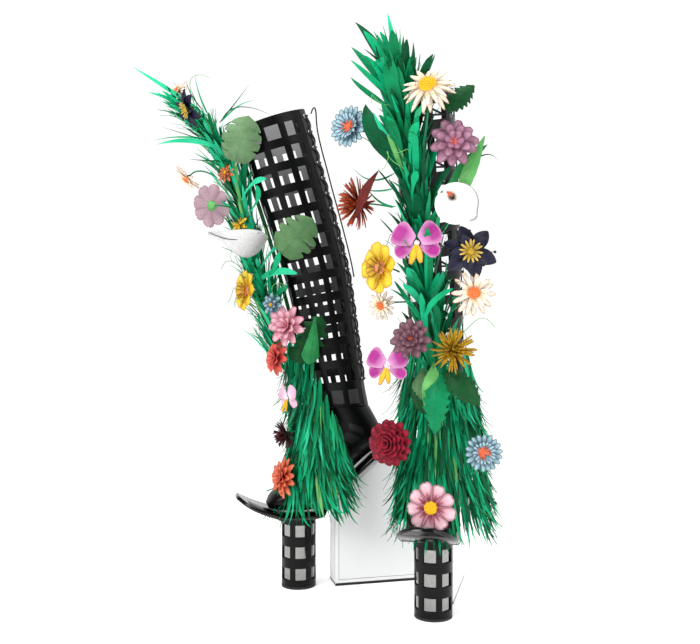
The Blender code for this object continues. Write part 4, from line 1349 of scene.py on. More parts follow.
def build_skirt(boot):
    """The hanging grass: short blades in many overlapping tiers, flicked out at their tips."""
    facts = SKIRTS[boot.side]
    draw = random.Random(facts["seed"])
    made = Shape()
    for index in range(SKIRT_BLADES):
        level = 1.0 - index / SKIRT_BLADES
        angle = math.radians(draw.uniform(*facts["angles"]))
        z, centre, depth, width = smooth_row(SKIRT_ROWS, level ** 0.9 + draw.uniform(-0.05, 0.05))
        out = Vector((math.cos(angle), math.sin(angle), 0.0))
        flare = facts["left"] if angle > 0 else facts["right"]
        width += flare * level
        lift = 0.002 + 0.008 * draw.random()
        root = Vector((centre + (depth + lift) * math.cos(angle), (width + lift) * math.sin(angle), z))
        if root.x < facts["back"] - facts["widens"] * (SKIRT_TOP - z):
            continue
        sweep = facts["sweep"] * draw.uniform(0.1, 1.2)
        way = out * draw.uniform(0.1, 0.4) + Vector((0.0, 0.0, -0.95)) + sweep * abs(math.sin(angle)) * level
        length = draw.uniform(0.045, 0.092)
        length = min(length, max(z - SKIRT_FOOT, 0.03) * 1.15)
        pull = Vector((0.0, 0.0, -0.6)) - out * draw.uniform(0.0, 0.4)
        flick = out * draw.uniform(0.0, 1.7) + sweep * draw.uniform(-0.6, 3.4)
        flick.z += draw.uniform(0.0, 1.2)
        path = blade_path(root, way, length, pull, flick)
        kind = pick(draw, {"deep": 3.2, "emerald": 4, "bright": 3.0, "mint": 0.9, "light": 0.15})
        shape = pick(draw, {"grass": 6, "needle": 4, "lance": 2})
        face = out + Vector((draw.uniform(-0.6, 0.6), draw.uniform(-0.6, 0.6), draw.uniform(-0.1, 0.5)))
        grow(made, boot, path, draw.uniform(0.0032, 0.0078), face, kind, shape)
    made.build(f"{boot.side}_hanging_grass", boot.body, [f"{boot.side}_grass_skirt"])


SPINE_PATH = (
    (-0.014, 0.0, 0.27), (-0.014, 0.0, 0.33), (-0.004, 0.0, 0.39), (0.008, 0.0, 0.45),
    (0.026, 0.0, 0.52), (0.048, 0.0, 0.6), (0.072, 0.0, 0.675), (0.096, 0.0, 0.745),
)


def build_spine(boot):
    """The leather-wrapped stem that carries the garland: the winding shows as fine turns."""
    path = [boot.point(place) for place in curve_path(SPINE_PATH, 240)]
    radii = [0.0032 + 0.0003 * (i % 2) for i in range(len(path))]
    made = Shape()
    made.add(*tube(path, radii, 10), "forest")
    made.build(f"{boot.side}_wrapped_stem", boot.body, [f"{boot.side}_garland_spine"])


# ---------------------------------------------------------------- flowers
def mixed(one, two, share):
    """A colour between two others."""
    return tuple(a + (b - a) * share for a, b in zip(one, two))


# Stems and petals.
STEM_RADIUS = 0.0013
PETAL_THICKNESS = 0.0009
SPATHE_THICKNESS = 0.001


def blunt(t):
    """Narrow at its root, with a tip that is part of a circle."""
    end = math.sqrt(max(1.0 - (max(t - 0.7, 0.0) / 0.305) ** 2, 0.0))
    return (0.42 + 0.58 * min(t / 0.62, 1.0) ** 0.8) * end


# Half width of a petal at a share of its length, from root to tip.
PETAL_SHAPES = {
    "round": blunt,
    "pointed": lambda t: math.sin(math.pi * min(0.16 + 0.82 * t, 0.995)) ** 0.75,
    "oval": lambda t: 0.26 + 0.74 * math.sin(math.pi * min(0.04 + 0.95 * t ** 1.25, 0.985)) ** 0.8,
    "strap": lambda t: 0.62 + 0.38 * math.sin(math.pi * t) - (0.5 * max(t - 0.88, 0) / 0.12),
    "spoon": lambda t: 0.3 + 0.7 * max(math.sin(math.pi * (0.05 + 0.82 * t)), 0.0) ** 1.6,
}


class Flower:
    """A flower head at a place, facing a way, built up from rings of petals and a middle.

    Lengths and widths are in shares of the head's size, and lifts are in metres.
    """

    def __init__(self, made, centre, axis, size, draw):
        self.made = made
        self.centre = centre
        self.axis = axis.normalized()
        self.size = size
        self.side, self.up = ring_axes(self.axis)
        self.draw = draw

    def at(self, x, y, z):
        return self.centre + self.side * x + self.up * y + self.axis * z

    def paint(self, part, colour):
        """Add points and faces in one colour, or with a colour for each point."""
        points, faces = part
        self.made.add(points, faces, "petals", colour if isinstance(colour, list) else [colour] * len(points))

    def ring(self, count, length, width, tilt, colours, start=0.0, root=0.15, cup=0.15, curl=0.0,
             shape="round", lift=0.0, jitter=6.0, notch=0.0):
        """Petals around the axis. tilt is their rise in degrees from flat; colours run root to tip."""
        profile = PETAL_SHAPES[shape]
        length *= self.size
        width *= self.size
        rows, columns = 10, 4
        for i in range(count):
            turn = math.radians(start + 360.0 * i / count + self.draw.uniform(-jitter, jitter))
            rise = math.radians(tilt + self.draw.uniform(-jitter, jitter))
            size = length * self.draw.uniform(0.93, 1.05)
            grid, tints = [], []
            for r in range(rows + 1):
                t = r / rows
                along = root * length + size * (1 - root) * t
                out = along * math.cos(rise) - curl * size * t * t * math.sin(rise)
                high = lift + along * math.sin(rise) + curl * size * t * t * math.cos(rise)
                row = []
                for c in range(columns + 1):
                    s = 2 * c / columns - 1
                    half = width / 2 * max(profile(t), 0.06)
                    back = notch * size * (1 - s * s) * (t ** 4)
                    x, y = out - back, half * s
                    row.append(self.at(
                        x * math.cos(turn) - y * math.sin(turn),
                        x * math.sin(turn) + y * math.cos(turn),
                        high + cup * half * s * s,
                    ))
                    tints.append(self.tint(colours, t, abs(s)))
                grid.append(row)
            self.paint(sheet(*thick_sheet(grid, PETAL_THICKNESS)), tints + tints)

    def tint(self, colours, t, s):
        """The colour at a share along a petal, with a darker painted edge if one is given."""
        root, middle, tip, edge = (list(colours) + [None] * 4)[:4]
        middle = middle or root
        tip = tip or middle
        here = mixed(root, middle, t * 2) if t < 0.5 else mixed(middle, tip, t * 2 - 1)
        if edge and (s > 0.9 or t > 0.93):
            here = mixed(here, edge, 0.8)
        return here

    def dome(self, radius, height, colour, florets, lift, size):
        """A rounded middle, covered with small florets set out in a spiral."""
        radius *= self.size
        height *= self.size
        rows, sides = 5, 14
        rings = []
        for r in range(rows + 1):
            bend = math.pi / 2 * r / rows
            reach = radius * math.cos(bend) + 0.0002
            rings.append([
                self.at(reach * math.cos(t), reach * math.sin(t), lift + height * math.sin(bend))
                for t in (2 * math.pi * k / sides for k in range(sides))
            ])
        self.paint(loft(rings), colour)
        golden = math.radians(137.508)
        for k in range(florets):
            share = (k + 0.5) / florets
            reach = radius * math.sqrt(share)
            turn = golden * k
            base = lift + height * math.sqrt(max(1 - share, 0.0))
            x, y = reach * math.cos(turn), reach * math.sin(turn)
            start = self.at(x * 0.9, y * 0.9, base - height * 0.15)
            end = self.at(x * 1.06, y * 1.06, base + radius * size * 1.1)
            bud = radius * size
            floret = tube([start, start.lerp(end, 0.7), end], [bud * 0.8, bud, bud * 0.35], 5)
            self.paint(floret, colour)

    def fringe(self, count, length, tilt, colour, tip, width, lift):
        """Fine straight threads that stand around the middle."""
        length *= self.size
        for k in range(count):
            turn = 2 * math.pi * (k + self.draw.uniform(-0.3, 0.3)) / count
            rise = math.radians(tilt + self.draw.uniform(-16.0, 16.0))
            path, tints = [], []
            size = length * self.draw.uniform(0.8, 1.1)
            for i in range(5):
                t = i / 4
                out = 0.001 + size * t * math.cos(rise)
                high = lift + size * t * math.sin(rise) - 0.1 * size * t * t
                path.append(self.at(out * math.cos(turn), out * math.sin(turn), high))
            radii = [width / 2 * (1.0 - 0.55 * i / 4) for i in range(5)]
            for i in range(5):
                tints += [mixed(colour, tip, i / 4)] * 5
            self.paint(tube(path, radii, 5), tints)

    def calyx(self, radius, depth, kind="forest"):
        """The green cup behind the petals."""
        radius *= self.size
        depth *= self.size
        rings = []
        for share, size in ((-1.0, 0.22), (-0.8, 0.5), (-0.45, 0.85), (-0.1, 1.0), (0.0, 0.8)):
            rings.append([
                self.at(radius * size * math.cos(t), radius * size * math.sin(t), depth * share)
                for t in (2 * math.pi * k / 10 for k in range(10))
            ])
        self.made.add(*loft(rings), kind)


def add_stem(made, root, end, axis):
    """The wrapped wire that leads from the garland to the back of a flower."""
    path = drawn_curve(root, end - axis * ((end - root).length * 0.45), end)
    made.add(*tube(path, [STEM_RADIUS] * len(path), 6), "emerald")


# Painted colours, linear.
CREAM = (0.8, 0.66, 0.46)
CREAM_LIGHT = (0.92, 0.86, 0.74)
BROWN = (0.2, 0.06, 0.03)
GOLD = (0.9, 0.52, 0.01)
ORANGE = (0.92, 0.22, 0.05)
CORAL = (0.86, 0.17, 0.08)
RED = (0.42, 0.01, 0.02)
DARK_RED = (0.16, 0.004, 0.012)
PINK = (0.72, 0.36, 0.44)
PALE_PINK = (0.86, 0.6, 0.66)
DEEP_PINK = (0.52, 0.1, 0.18)
MAGENTA = (0.4, 0.02, 0.25)
PALE_MAGENTA = (0.72, 0.34, 0.62)
VIOLET = (0.62, 0.3, 0.52)
NAVY = (0.003, 0.003, 0.02)
INK = (0.004, 0.004, 0.014)
SKY = (0.42, 0.62, 0.68)
DARK_BLUE = (0.03, 0.06, 0.11)
SLATE = (0.1, 0.2, 0.26)
WHITE = (0.86, 0.85, 0.83)
BLACK = (0.01, 0.008, 0.008)
YELLOW = (0.9, 0.62, 0.03)


def cream_daisy(head):
    head.ring(
        15, 1.0, 0.24, -2, (CREAM, CREAM_LIGHT, CREAM, (0.26, 0.12, 0.07)), shape="pointed", curl=-0.34,
        cup=-0.4,
    )
    head.ring(
        14, 0.88, 0.22, 10, (BROWN, CREAM, CREAM_LIGHT, (0.26, 0.12, 0.07)), 12, shape="pointed",
        curl=-0.3, cup=-0.4, lift=0.001,
    )
    head.dome(0.32, 0.2, GOLD, 60, 0.001, 0.11)
    head.calyx(0.18, 0.25)


def small_daisy(head):
    head.ring(
        14, 1.0, 0.24, 4, (CREAM, CREAM_LIGHT, CREAM, (0.35, 0.12, 0.1)), shape="strap", curl=-0.12,
        jitter=9.0,
    )
    head.ring(11, 0.7, 0.2, 20, (BROWN, CREAM, CREAM_LIGHT), 15, shape="strap", lift=0.001, jitter=9.0)
    head.dome(0.28, 0.22, ORANGE, 30, 0.001, 0.16)
    head.calyx(0.18, 0.3)


def blue_daisy(head):
    pale = (0.3, 0.5, 0.6)
    dark = (0.012, 0.022, 0.05)
    head.ring(18, 1.0, 0.3, 6, (dark, pale, SKY, dark), shape="strap", curl=0.05, cup=0.5, jitter=3.0)
    head.ring(18, 0.72, 0.2, 30, (dark, pale, SKY, dark), 9, shape="strap", cup=0.5, lift=0.001, jitter=4.0)
    head.fringe(34, 0.42, 28, ORANGE, CORAL, 0.002, 0.003)
    head.dome(0.14, 0.14, CORAL, 14, 0.003, 0.2)
    head.calyx(0.22, 0.35)


def dahlia(head, dark, main, tip, middle, layers, count, width):
    """Layers of oval petals that stand up more and more towards the middle."""
    colours = (dark, main, tip, mixed(main, dark, 0.75))
    for layer in range(layers):
        share = layer / layers
        head.ring(
            count - layer, 1 - 0.72 * share, width * (1 - 0.45 * share), -6 + 62 * share,
            colours, 17.0 * layer, shape="oval", cup=0.55, lift=0.0012 * layer,
        )
    head.fringe(18, 0.2, 62, middle, middle, 0.0016, 0.002)
    head.calyx(0.24, 0.35)


def lilac_dahlia(head):
    tone, dark = (0.38, 0.175, 0.265), (0.1, 0.03, 0.06)
    for count, share, width, tilt, start in (
        (10, 1.0, 0.46, -4, 0), (8, 0.78, 0.4, 18, 18), (6, 0.54, 0.32, 40, 5),
    ):
        head.ring(
            count, share, width, tilt, (DEEP_PINK, tone, (0.46, 0.23, 0.33), dark), start, shape="oval",
            cup=0.5, lift=0.001,
        )
    head.fringe(18, 0.26, 40, CORAL, (0.8, 0.3, 0.25), 0.0018, 0.002)
    head.calyx(0.22, 0.35)


def pink_dahlia(head):
    for count, share, width, tilt, start in (
        (9, 1.0, 0.42, 8, 0), (8, 0.84, 0.36, 32, 20), (6, 0.66, 0.3, 56, 5),
    ):
        head.ring(
            count, share, width, tilt, ((0.6, 0.16, 0.26), PINK, PALE_PINK, DEEP_PINK), start,
            shape="oval", cup=0.7, lift=0.001,
        )
    head.fringe(14, 0.3, 64, CORAL, PALE_PINK, 0.0014, 0.002)
    head.calyx(0.22, 0.35)


def cosmos(head):
    tone = (0.54, 0.35, 0.42)
    head.ring(
        8, 1.0, 0.6, 0, (tone, tone, (0.6, 0.42, 0.48), (0.42, 0.26, 0.32)), shape="round", cup=0.12,
        curl=-0.1, notch=0.05, jitter=3.0,
    )
    head.dome(0.2, 0.14, GOLD, 28, 0.001, 0.16)
    head.calyx(0.24, 0.3, "light")


def pink_daisy(head):
    dark = (0.16, 0.02, 0.04)
    head.ring(
        9, 1.0, 0.56, 4, ((0.52, 0.1, 0.16), (0.66, 0.36, 0.42), PALE_PINK, dark), shape="round",
        cup=0.2, curl=-0.16, notch=0.06, jitter=3.0,
    )
    head.ring(9, 0.62, 0.1, 12, (dark, dark, DEEP_PINK), 0, shape="pointed", lift=0.0014, jitter=2.0)
    head.dome(0.27, 0.2, GOLD, 60, 0.001, 0.1)
    head.calyx(0.2, 0.3)


def navy_star(head):
    """Broad dark petals, thin brass ones over them, and a few long stamens with round ends."""
    size = head.size
    tone = (0.006, 0.005, 0.036)
    head.ring(6, 1.0, 0.56, 2, (INK, tone, NAVY, INK), shape="pointed", cup=0.35, curl=-0.12, jitter=8.0)
    head.ring(5, 0.72, 0.4, 16, (INK, tone, NAVY, INK), 30, shape="pointed", cup=0.4, lift=0.001, jitter=8.0)
    brass = (0.46, 0.3, 0.03)
    head.ring(
        14, 0.46, 0.085, 24, ((0.2, 0.1, 0.01), brass, (0.66, 0.48, 0.1)), shape="strap", lift=0.003,
        jitter=5.0,
    )
    head.dome(0.13, 0.1, (0.62, 0.42, 0.02), 20, 0.003, 0.2)
    for turn, reach in ((0.4, 0.78), (1.5, 0.66), (2.3, 0.82), (4.0, 0.7), (5.4, 0.8)):
        tip = head.at(size * reach * math.cos(turn), size * reach * math.sin(turn), size * 0.22)
        root = head.at(0.0, 0.0, 0.002)
        head.paint(tube([root, root.lerp(tip, 0.6), tip], [0.0006] * 3, 5), INK)
        ball = [tip + head.axis * lift for lift in (-0.0022, -0.0012, 0.0, 0.0012, 0.0022)]
        head.paint(tube(ball, [0.0006, 0.002, 0.0024, 0.002, 0.0006], 7), INK)
    head.calyx(0.2, 0.3)


def mum(head, main, tip, dark):
    for layer, (count, share, tilt) in enumerate(
        ((26, 1.0, -8), (26, 0.92, 14), (22, 0.78, 36), (16, 0.6, 58), (8, 0.42, 76))
    ):
        head.ring(
            count, share, 0.085, tilt, (dark, main, tip, dark), 9.0 * layer, shape="strap",
            cup=0.6, curl=0.26, lift=0.001 * layer, jitter=12.0,
        )
    head.calyx(0.24, 0.4)


def yellow_double(head):
    gold = (0.78, 0.44, 0.015)
    head.ring(
        8, 1.0, 0.66, 6, (gold, YELLOW, (0.92, 0.68, 0.06), (0.48, 0.24, 0.01)), shape="round", cup=0.35,
        curl=0.04, jitter=4.0,
    )
    head.ring(
        10, 0.58, 0.3, 44, (BROWN, (0.6, 0.3, 0.02), YELLOW, (0.16, 0.06, 0.01)), 22, shape="round",
        cup=0.5, lift=0.001,
    )
    head.fringe(26, 0.34, 42, (0.3, 0.1, 0.02), (0.62, 0.3, 0.03), 0.0018, 0.001)
    head.dome(0.24, 0.22, (0.84, 0.34, 0.2), 8, 0.002, 0.1)
    head.calyx(0.22, 0.35)


def red_fringed(head):
    colours = ((0.06, 0.008, 0.004), (0.34, 0.045, 0.012), (0.72, 0.12, 0.02), (0.1, 0.01, 0.004))
    for layer, (count, share, tilt) in enumerate(
        ((34, 1.0, -4), (32, 0.9, 18), (28, 0.74, 38), (18, 0.56, 60))
    ):
        head.ring(
            count, share, 0.075, tilt, colours, 8.0 * layer,
            shape="strap", cup=0.4, curl=0.16, lift=0.001 * layer, jitter=13.0,
        )
    head.dome(0.16, 0.12, DARK_RED, 16, 0.001, 0.2)
    head.calyx(0.24, 0.45, "maroon")


def red_dahlia(head):
    colours = ((0.05, 0.001, 0.004), (0.36, 0.006, 0.03), (0.5, 0.02, 0.055), (0.06, 0.001, 0.006))
    for layer in range(6):
        share = layer / 6
        head.ring(
            15 - 2 * layer, 1 - 0.84 * share, 0.42 - 0.14 * share, -8 + 62 * share,
            colours, 13.0 * layer, shape="round",
            cup=0.65, curl=0.1, lift=0.0018 * layer, jitter=4.0,
        )
    head.calyx(0.24, 0.35)


def orchid(head, main, pale, edge):
    """Two broad upper lobes, two drooping outer ones, and a lip with two rounded legs."""
    colours = (pale, main, main, edge)
    for turn in (-24, 204):
        head.ring(1, 0.94, 0.56, 2, colours, turn, shape="round", cup=0.2, curl=-0.12, jitter=2.0)
    for turn in (32, 148):
        head.ring(1, 1.0, 0.94, 6, colours, turn, shape="round", cup=0.2, curl=-0.12, jitter=2.0, lift=0.0012)
    yellow = (GOLD, (0.86, 0.5, 0.01), (0.7, 0.36, 0.01), (0.4, 0.2, 0.01))
    for turn in (-104, -76):
        head.ring(1, 0.84, 0.26, 12, yellow, turn, shape="spoon", jitter=2.0, lift=0.004, root=0.05)
    head.dome(0.1, 0.12, (0.9, 0.74, 0.8), 8, 0.003, 0.2)


def spathe_reach(turn):
    """How far the open spathe reaches at a turn, in degrees, for a flower of unit size."""
    def bump(middle, width):
        away = (turn - middle + 180.0) % 360.0 - 180.0
        return math.exp(-(away / width) ** 2)
    heart = ((1 + math.cos(math.radians(turn - 302.0))) / 2) ** 1.5
    return 0.56 + 0.97 * heart + 0.18 * bump(314.5, 9.0) - 0.2 * bump(161.0, 14.0)


def calla(head):
    """An open spathe: a broad heart round an off-centre throat, with a short spadix."""
    size = head.size
    rows, columns = 14, 60
    grid, tints = [], []
    for r in range(rows + 1):
        t = 0.05 + 0.95 * (r / rows) ** 1.3
        row = []
        for c in range(columns + 1):
            degrees = 360.0 * c / columns
            turn = math.radians(degrees)
            reach = size * spathe_reach(degrees) * t
            high = -size * 0.9 * (1 - t) ** 7 - size * 0.14 * t ** 3
            x, y = size * 0.12 + reach * math.cos(turn), size * 0.27 + reach * math.sin(turn)
            row.append(head.at(x, y, high))
            # Towards the throat the white is mixed with dark olive: partly the throat's own greenish tint,
            # partly painted shade inside the throat.
            shade = mixed((0.16, 0.13, 0.06), WHITE, min((t / 0.26) ** 1.5, 1.0))
            # Along part of the outer rim, where it curls back, a dark grey line is painted as shade.
            dark_rim_painted_shade = r >= rows and (degrees < 60.0 or degrees > 300.0)
            tints.append((0.1, 0.1, 0.1) if dark_rim_painted_shade else shade)
        grid.append(row)
    head.paint(sheet(*thick_sheet(grid, SPATHE_THICKNESS)), tints + tints)
    spadix = ((0.12, 0.27, -0.3), (0.06, 0.29, 0.0), (-0.04, 0.33, 0.16))
    path = [head.at(size * x, size * y, size * z) for x, y, z in spadix]
    head.paint(tube(path, [size * 0.07, size * 0.09, size * 0.05], 10), (0.62, 0.1, 0.03))


def side_calla(head):
    """A spathe seen along its length: a rolled sheath, open on top, with a drawn-out tip."""
    size = head.size
    rows, columns = 24, 24
    grid, tints = [], []
    for r in range(rows + 1):
        t = r / rows
        belly = math.sin(math.pi * min(0.02 + 0.9 * t ** 1.6, 1.0)) ** 0.9
        end = math.sqrt(max(1.0 - (max(t - 0.84, 0.0) / 0.165) ** 2, 0.0))
        half = size * (0.008 + 0.36 * belly * end)
        middle = size * (0.08 + 0.2 * t - 0.3 * belly)
        row = []
        for c in range(columns + 1):
            turn = math.radians(24.0 + 312.0 * c / columns)
            high, deep = middle + half * 1.35 * math.cos(turn), half * 0.8 * math.sin(turn)
            row.append(head.at(size * (1.1 - 2.05 * t), high, deep))
            # The white spathe is painted grey in bands: painted shade across its rolled surface.
            shade = abs(math.sin(3.0 * t + 2.0 * c / columns))
            tints.append(mixed((0.34, 0.34, 0.34), (0.62, 0.62, 0.62), shade))
        grid.append(row)
    head.paint(sheet(*thick_sheet(grid, SPATHE_THICKNESS)), tints + tints)
    # A thin near-black tube along the upper rim: a painted shade line at the rolled edge.
    rim = (
        (1.06, 0.08, 0.03), (0.6, -0.05, 0.16), (0.2, -0.06, 0.235), (-0.25, 0.03, 0.26),
        (-0.62, 0.3, 0.19),
    )
    dark_rim_painted_shade = [head.at(size * x, size * y, size * z) for x, y, z in rim]
    head.paint(tube(curve_path(dark_rim_painted_shade, 20), [0.0007] * 20, 5), (0.06, 0.06, 0.06))
    path = [head.at(size * x, size * y, 0.0) for x, y in ((-0.5, 0.0), (-0.1, 0.04), (0.3, 0.1))]
    head.paint(tube(path, [size * 0.05, size * 0.07, size * 0.03], 8), (0.62, 0.28, 0.03))


# Flowers made from a general one: (maker, its colours and counts).
VARIANTS = {
    "magenta_orchid": (orchid, MAGENTA, PALE_MAGENTA, VIOLET),
    "pale_orchid": (orchid, (0.72, 0.46, 0.62), (0.9, 0.78, 0.84), PINK),
    "orange_dahlia": (dahlia, (0.3, 0.02, 0.02), CORAL, (0.88, 0.3, 0.14), DARK_RED, 4, 12, 0.34),
    "coral_dahlia": (dahlia, (0.3, 0.01, 0.02), (0.7, 0.1, 0.09), CORAL, RED, 3, 9, 0.46),
    "slate": (dahlia, DARK_BLUE, SLATE, SKY, GOLD, 2, 8, 0.44),
    "rust": (dahlia, BROWN, (0.5, 0.14, 0.05), ORANGE, GOLD, 2, 9, 0.34),
    "bud": (dahlia, (0.35, 0.2, 0.02), YELLOW, YELLOW, GOLD, 2, 6, 0.4),
    "mauve": (dahlia, (0.03, 0.008, 0.014), (0.19, 0.08, 0.11), (0.28, 0.13, 0.17), CORAL, 3, 11, 0.44),
    "golden_mum": (mum, (0.66, 0.4, 0.02), (0.78, 0.5, 0.03), (0.2, 0.1, 0.005)),
    "burgundy": (mum, (0.1, 0.01, 0.02), (0.16, 0.02, 0.03), BLACK),
}
# Each flower is (node it stands for or None, name, root, head centre, facing, size, maker, its slot's
# colour).
FLOWERS = {
    "left": (
        ("navy_flower", "navy", (0.182, 0.03, 0.795), (0.197, 0.056, 0.824), (0.86, 0.2, -0.4), 0.034,
         navy_star, "navy"),
        ("pink_cosmos", "cosmos", (0.118, 0.03, 0.665), (0.158, 0.04, 0.666), (0.5, -0.85, 0.05), 0.038,
         cosmos, "pink"),
        ("calla", "calla", (0.078, 0.036, 0.59), (0.112, 0.064, 0.608), (0.25, 0.35, 0.9), 0.049,
         side_calla, "white"),
        ("yellow_flower", "yellow", (0.072, 0.026, 0.52), (0.094, 0.022, 0.523), (0.93, 0.3, 0.05),
         0.036, yellow_double, "yellow"),
        ("pink_dahlia", "pink_dahlia", (0.046, 0.036, 0.452), (0.03, 0.064, 0.462), (0.62, 0.72, 0.1),
         0.035, pink_dahlia, "pink"),
        ("orchid", "orchid", (0.01, 0.056, 0.33), (0.03, 0.072, 0.34), (0.9, 0.38, 0.0), 0.029,
         "pale_orchid", "lilac"),
        ("orange_dahlia", "orange_dahlia", (0.06, 0.012, 0.172), (0.034, 0.04, 0.2), (0.93, 0.34, 0.15),
         0.035, "orange_dahlia", "coral"),
        (None, "coral_flower", (0.04, 0.03, 0.415), (0.048, 0.052, 0.408), (0.93, 0.34, 0.1), 0.031,
         "coral_dahlia", "coral"),
        (None, "white_daisy", (0.15, 0.02, 0.72), (0.197, 0.036, 0.712), (0.64, 0.1, -0.75), 0.026,
         small_daisy, "cream"),
        (None, "cream_daisy", (0.19, -0.01, 0.84), (0.212, 0.0, 0.868), (0.6, 0.5, 0.5), 0.02,
         small_daisy, "cream"),
        (None, "blue_grey", (0.055, 0.034, 0.5), (0.056, 0.052, 0.499), (0.6, 0.7, 0.0), 0.02, "slate",
         "blue"),
        (None, "rust_flower", (0.116, 0.018, 0.715), (0.131, 0.02, 0.726), (0.6, 0.7, 0.2), 0.017,
         "rust", "coral"),
        (None, "yellow_bud", (0.104, 0.018, 0.622), (0.108, 0.02, 0.636), (0.7, 0.6, 0.2), 0.019, "bud",
         "yellow"),
        (None, "burgundy", (0.01, 0.03, 0.28), (0.03, 0.04, 0.274), (0.9, 0.3, -0.3), 0.026, "burgundy",
         "red"),
    ),
    "right": (
        ("cream_daisy", "daisy", (0.16, 0.012, 0.79), (0.183, 0.02, 0.796), (0.86, 0.0, 0.52), 0.039,
         cream_daisy, "cream"),
        ("blue_daisy", "blue_daisy", (0.14, -0.056, 0.742), (0.13, -0.104, 0.757), (0.85, -0.35, 0.05),
         0.032, blue_daisy, "blue"),
        ("lilac_dahlia", "lilac_dahlia", (0.128, 0.022, 0.716), (0.15, 0.052, 0.722), (0.9, 0.15, 0.1),
         0.035, lilac_dahlia, "lilac"),
        ("calla", "calla", (0.112, 0.028, 0.63), (0.15, 0.044, 0.642), (0.95, 0.05, 0.15), 0.03, calla,
         "white"),
        ("red_flower", "fringed", (0.106, -0.046, 0.64), (0.1, -0.098, 0.648), (0.7, -0.68, -0.05), 0.04,
         red_fringed, "red"),
        ("magenta_orchid", "orchid", (0.104, 0.0, 0.56), (0.13, -0.004, 0.583), (0.98, 0.05, 0.1), 0.04,
         "magenta_orchid", "magenta"),
        ("yellow_flower", "yellow", (0.078, -0.04, 0.545), (0.104, -0.062, 0.55), (0.75, -0.6, 0.0),
         0.039, yellow_double, "yellow"),
        ("navy_flower", "navy", (0.082, 0.038, 0.565), (0.098, 0.07, 0.572), (0.95, 0.15, 0.05), 0.042,
         navy_star, "navy"),
        ("low_orchid", "low_orchid", (0.048, -0.032, 0.432), (0.084, -0.057, 0.402), (0.95, -0.2, 0.05),
         0.035, "magenta_orchid", "magenta"),
        ("red_dahlia", "red_dahlia", (0.0, -0.042, 0.3), (0.058, -0.06, 0.282), (0.95, -0.25, 0.05),
         0.037, red_dahlia, "red"),
        (None, "cream_small", (0.08, 0.04, 0.505), (0.1, 0.074, 0.511), (0.85, 0.35, 0.15), 0.034,
         small_daisy, "cream"),
        (None, "cream_behind", (0.058, -0.03, 0.5), (0.06, -0.072, 0.495), (0.85, -0.3, -0.2), 0.024,
         small_daisy, "cream"),
        (None, "mauve_dome", (0.06, -0.006, 0.44), (0.11, -0.017, 0.444), (0.95, -0.05, 0.15), 0.031,
         "mauve", "lilac"),
        (None, "golden_mum", (0.055, 0.024, 0.43), (0.084, 0.042, 0.427), (0.9, 0.3, 0.15), 0.034,
         "golden_mum", "yellow"),
        (None, "blue_dahlia", (0.02, 0.07, 0.28), (0.056, 0.084, 0.272), (0.92, 0.25, 0.05), 0.029,
         blue_daisy, "blue"),
        (None, "pink_daisy", (0.066, 0.01, 0.172), (0.09, 0.01, 0.192), (0.97, 0.0, 0.12), 0.038,
         pink_daisy, "pink"),
    ),
}


FIRST_FLOWER_SEED = 101


def build_flowers(boot):
    """Each flower with its stem; the ones with a joint ride on their own body."""
    for index, (node, name, root, place, facing, size, maker, colour) in enumerate(FLOWERS[boot.side]):
        shaper, *facts = VARIANTS.get(maker, (maker,))
        draw = random.Random(FIRST_FLOWER_SEED + index)
        made = Shape()
        axis = boot.direction(facing)
        centre = boot.point(place)
        back = size * (0.8 if shaper is calla else 0.3)
        head = Flower(made, centre, axis, size, draw)
        if shaper in (orchid, calla):
            up = Vector((0.0, 0.0, 1.0))
            head.up = (up - axis * up.dot(axis)).normalized()
            head.side = head.up.cross(axis)
        if shaper is side_calla:
            head.axis = boot.direction((0.0, 1.0, 0.0))
            head.side = boot.direction((1.0, 0.0, 0.12))
            head.up = head.axis.cross(head.side) * -1.0
        shaper(head, *facts)
        add_stem(made, boot.point(root), centre - axis * back, axis)
        full = f"{boot.side}_{node}" if node else None
        moving = full in frame["bodies"]
        replaced = [full] if node else []
        made.build(f"{boot.side}_{name}_bloom", full if moving else boot.body, replaced)


# ---------------------------------------------------------------- leaves and tendrils
ROUND_CUTS = (
    (0.28, 1, 0.35), (0.3, -1, 0.3), (0.5, 1, 0.55), (0.54, -1, 0.4), (0.72, 1, 0.4), (0.76, -1, 0.6),
)
LOBE_CUTS = (
    (0.2, 1, 0.6), (0.24, -1, 0.55), (0.42, 1, 0.62), (0.44, -1, 0.58), (0.62, 1, 0.55), (0.66, -1, 0.55),
    (0.82, 1, 0.45), (0.84, -1, 0.45),
)
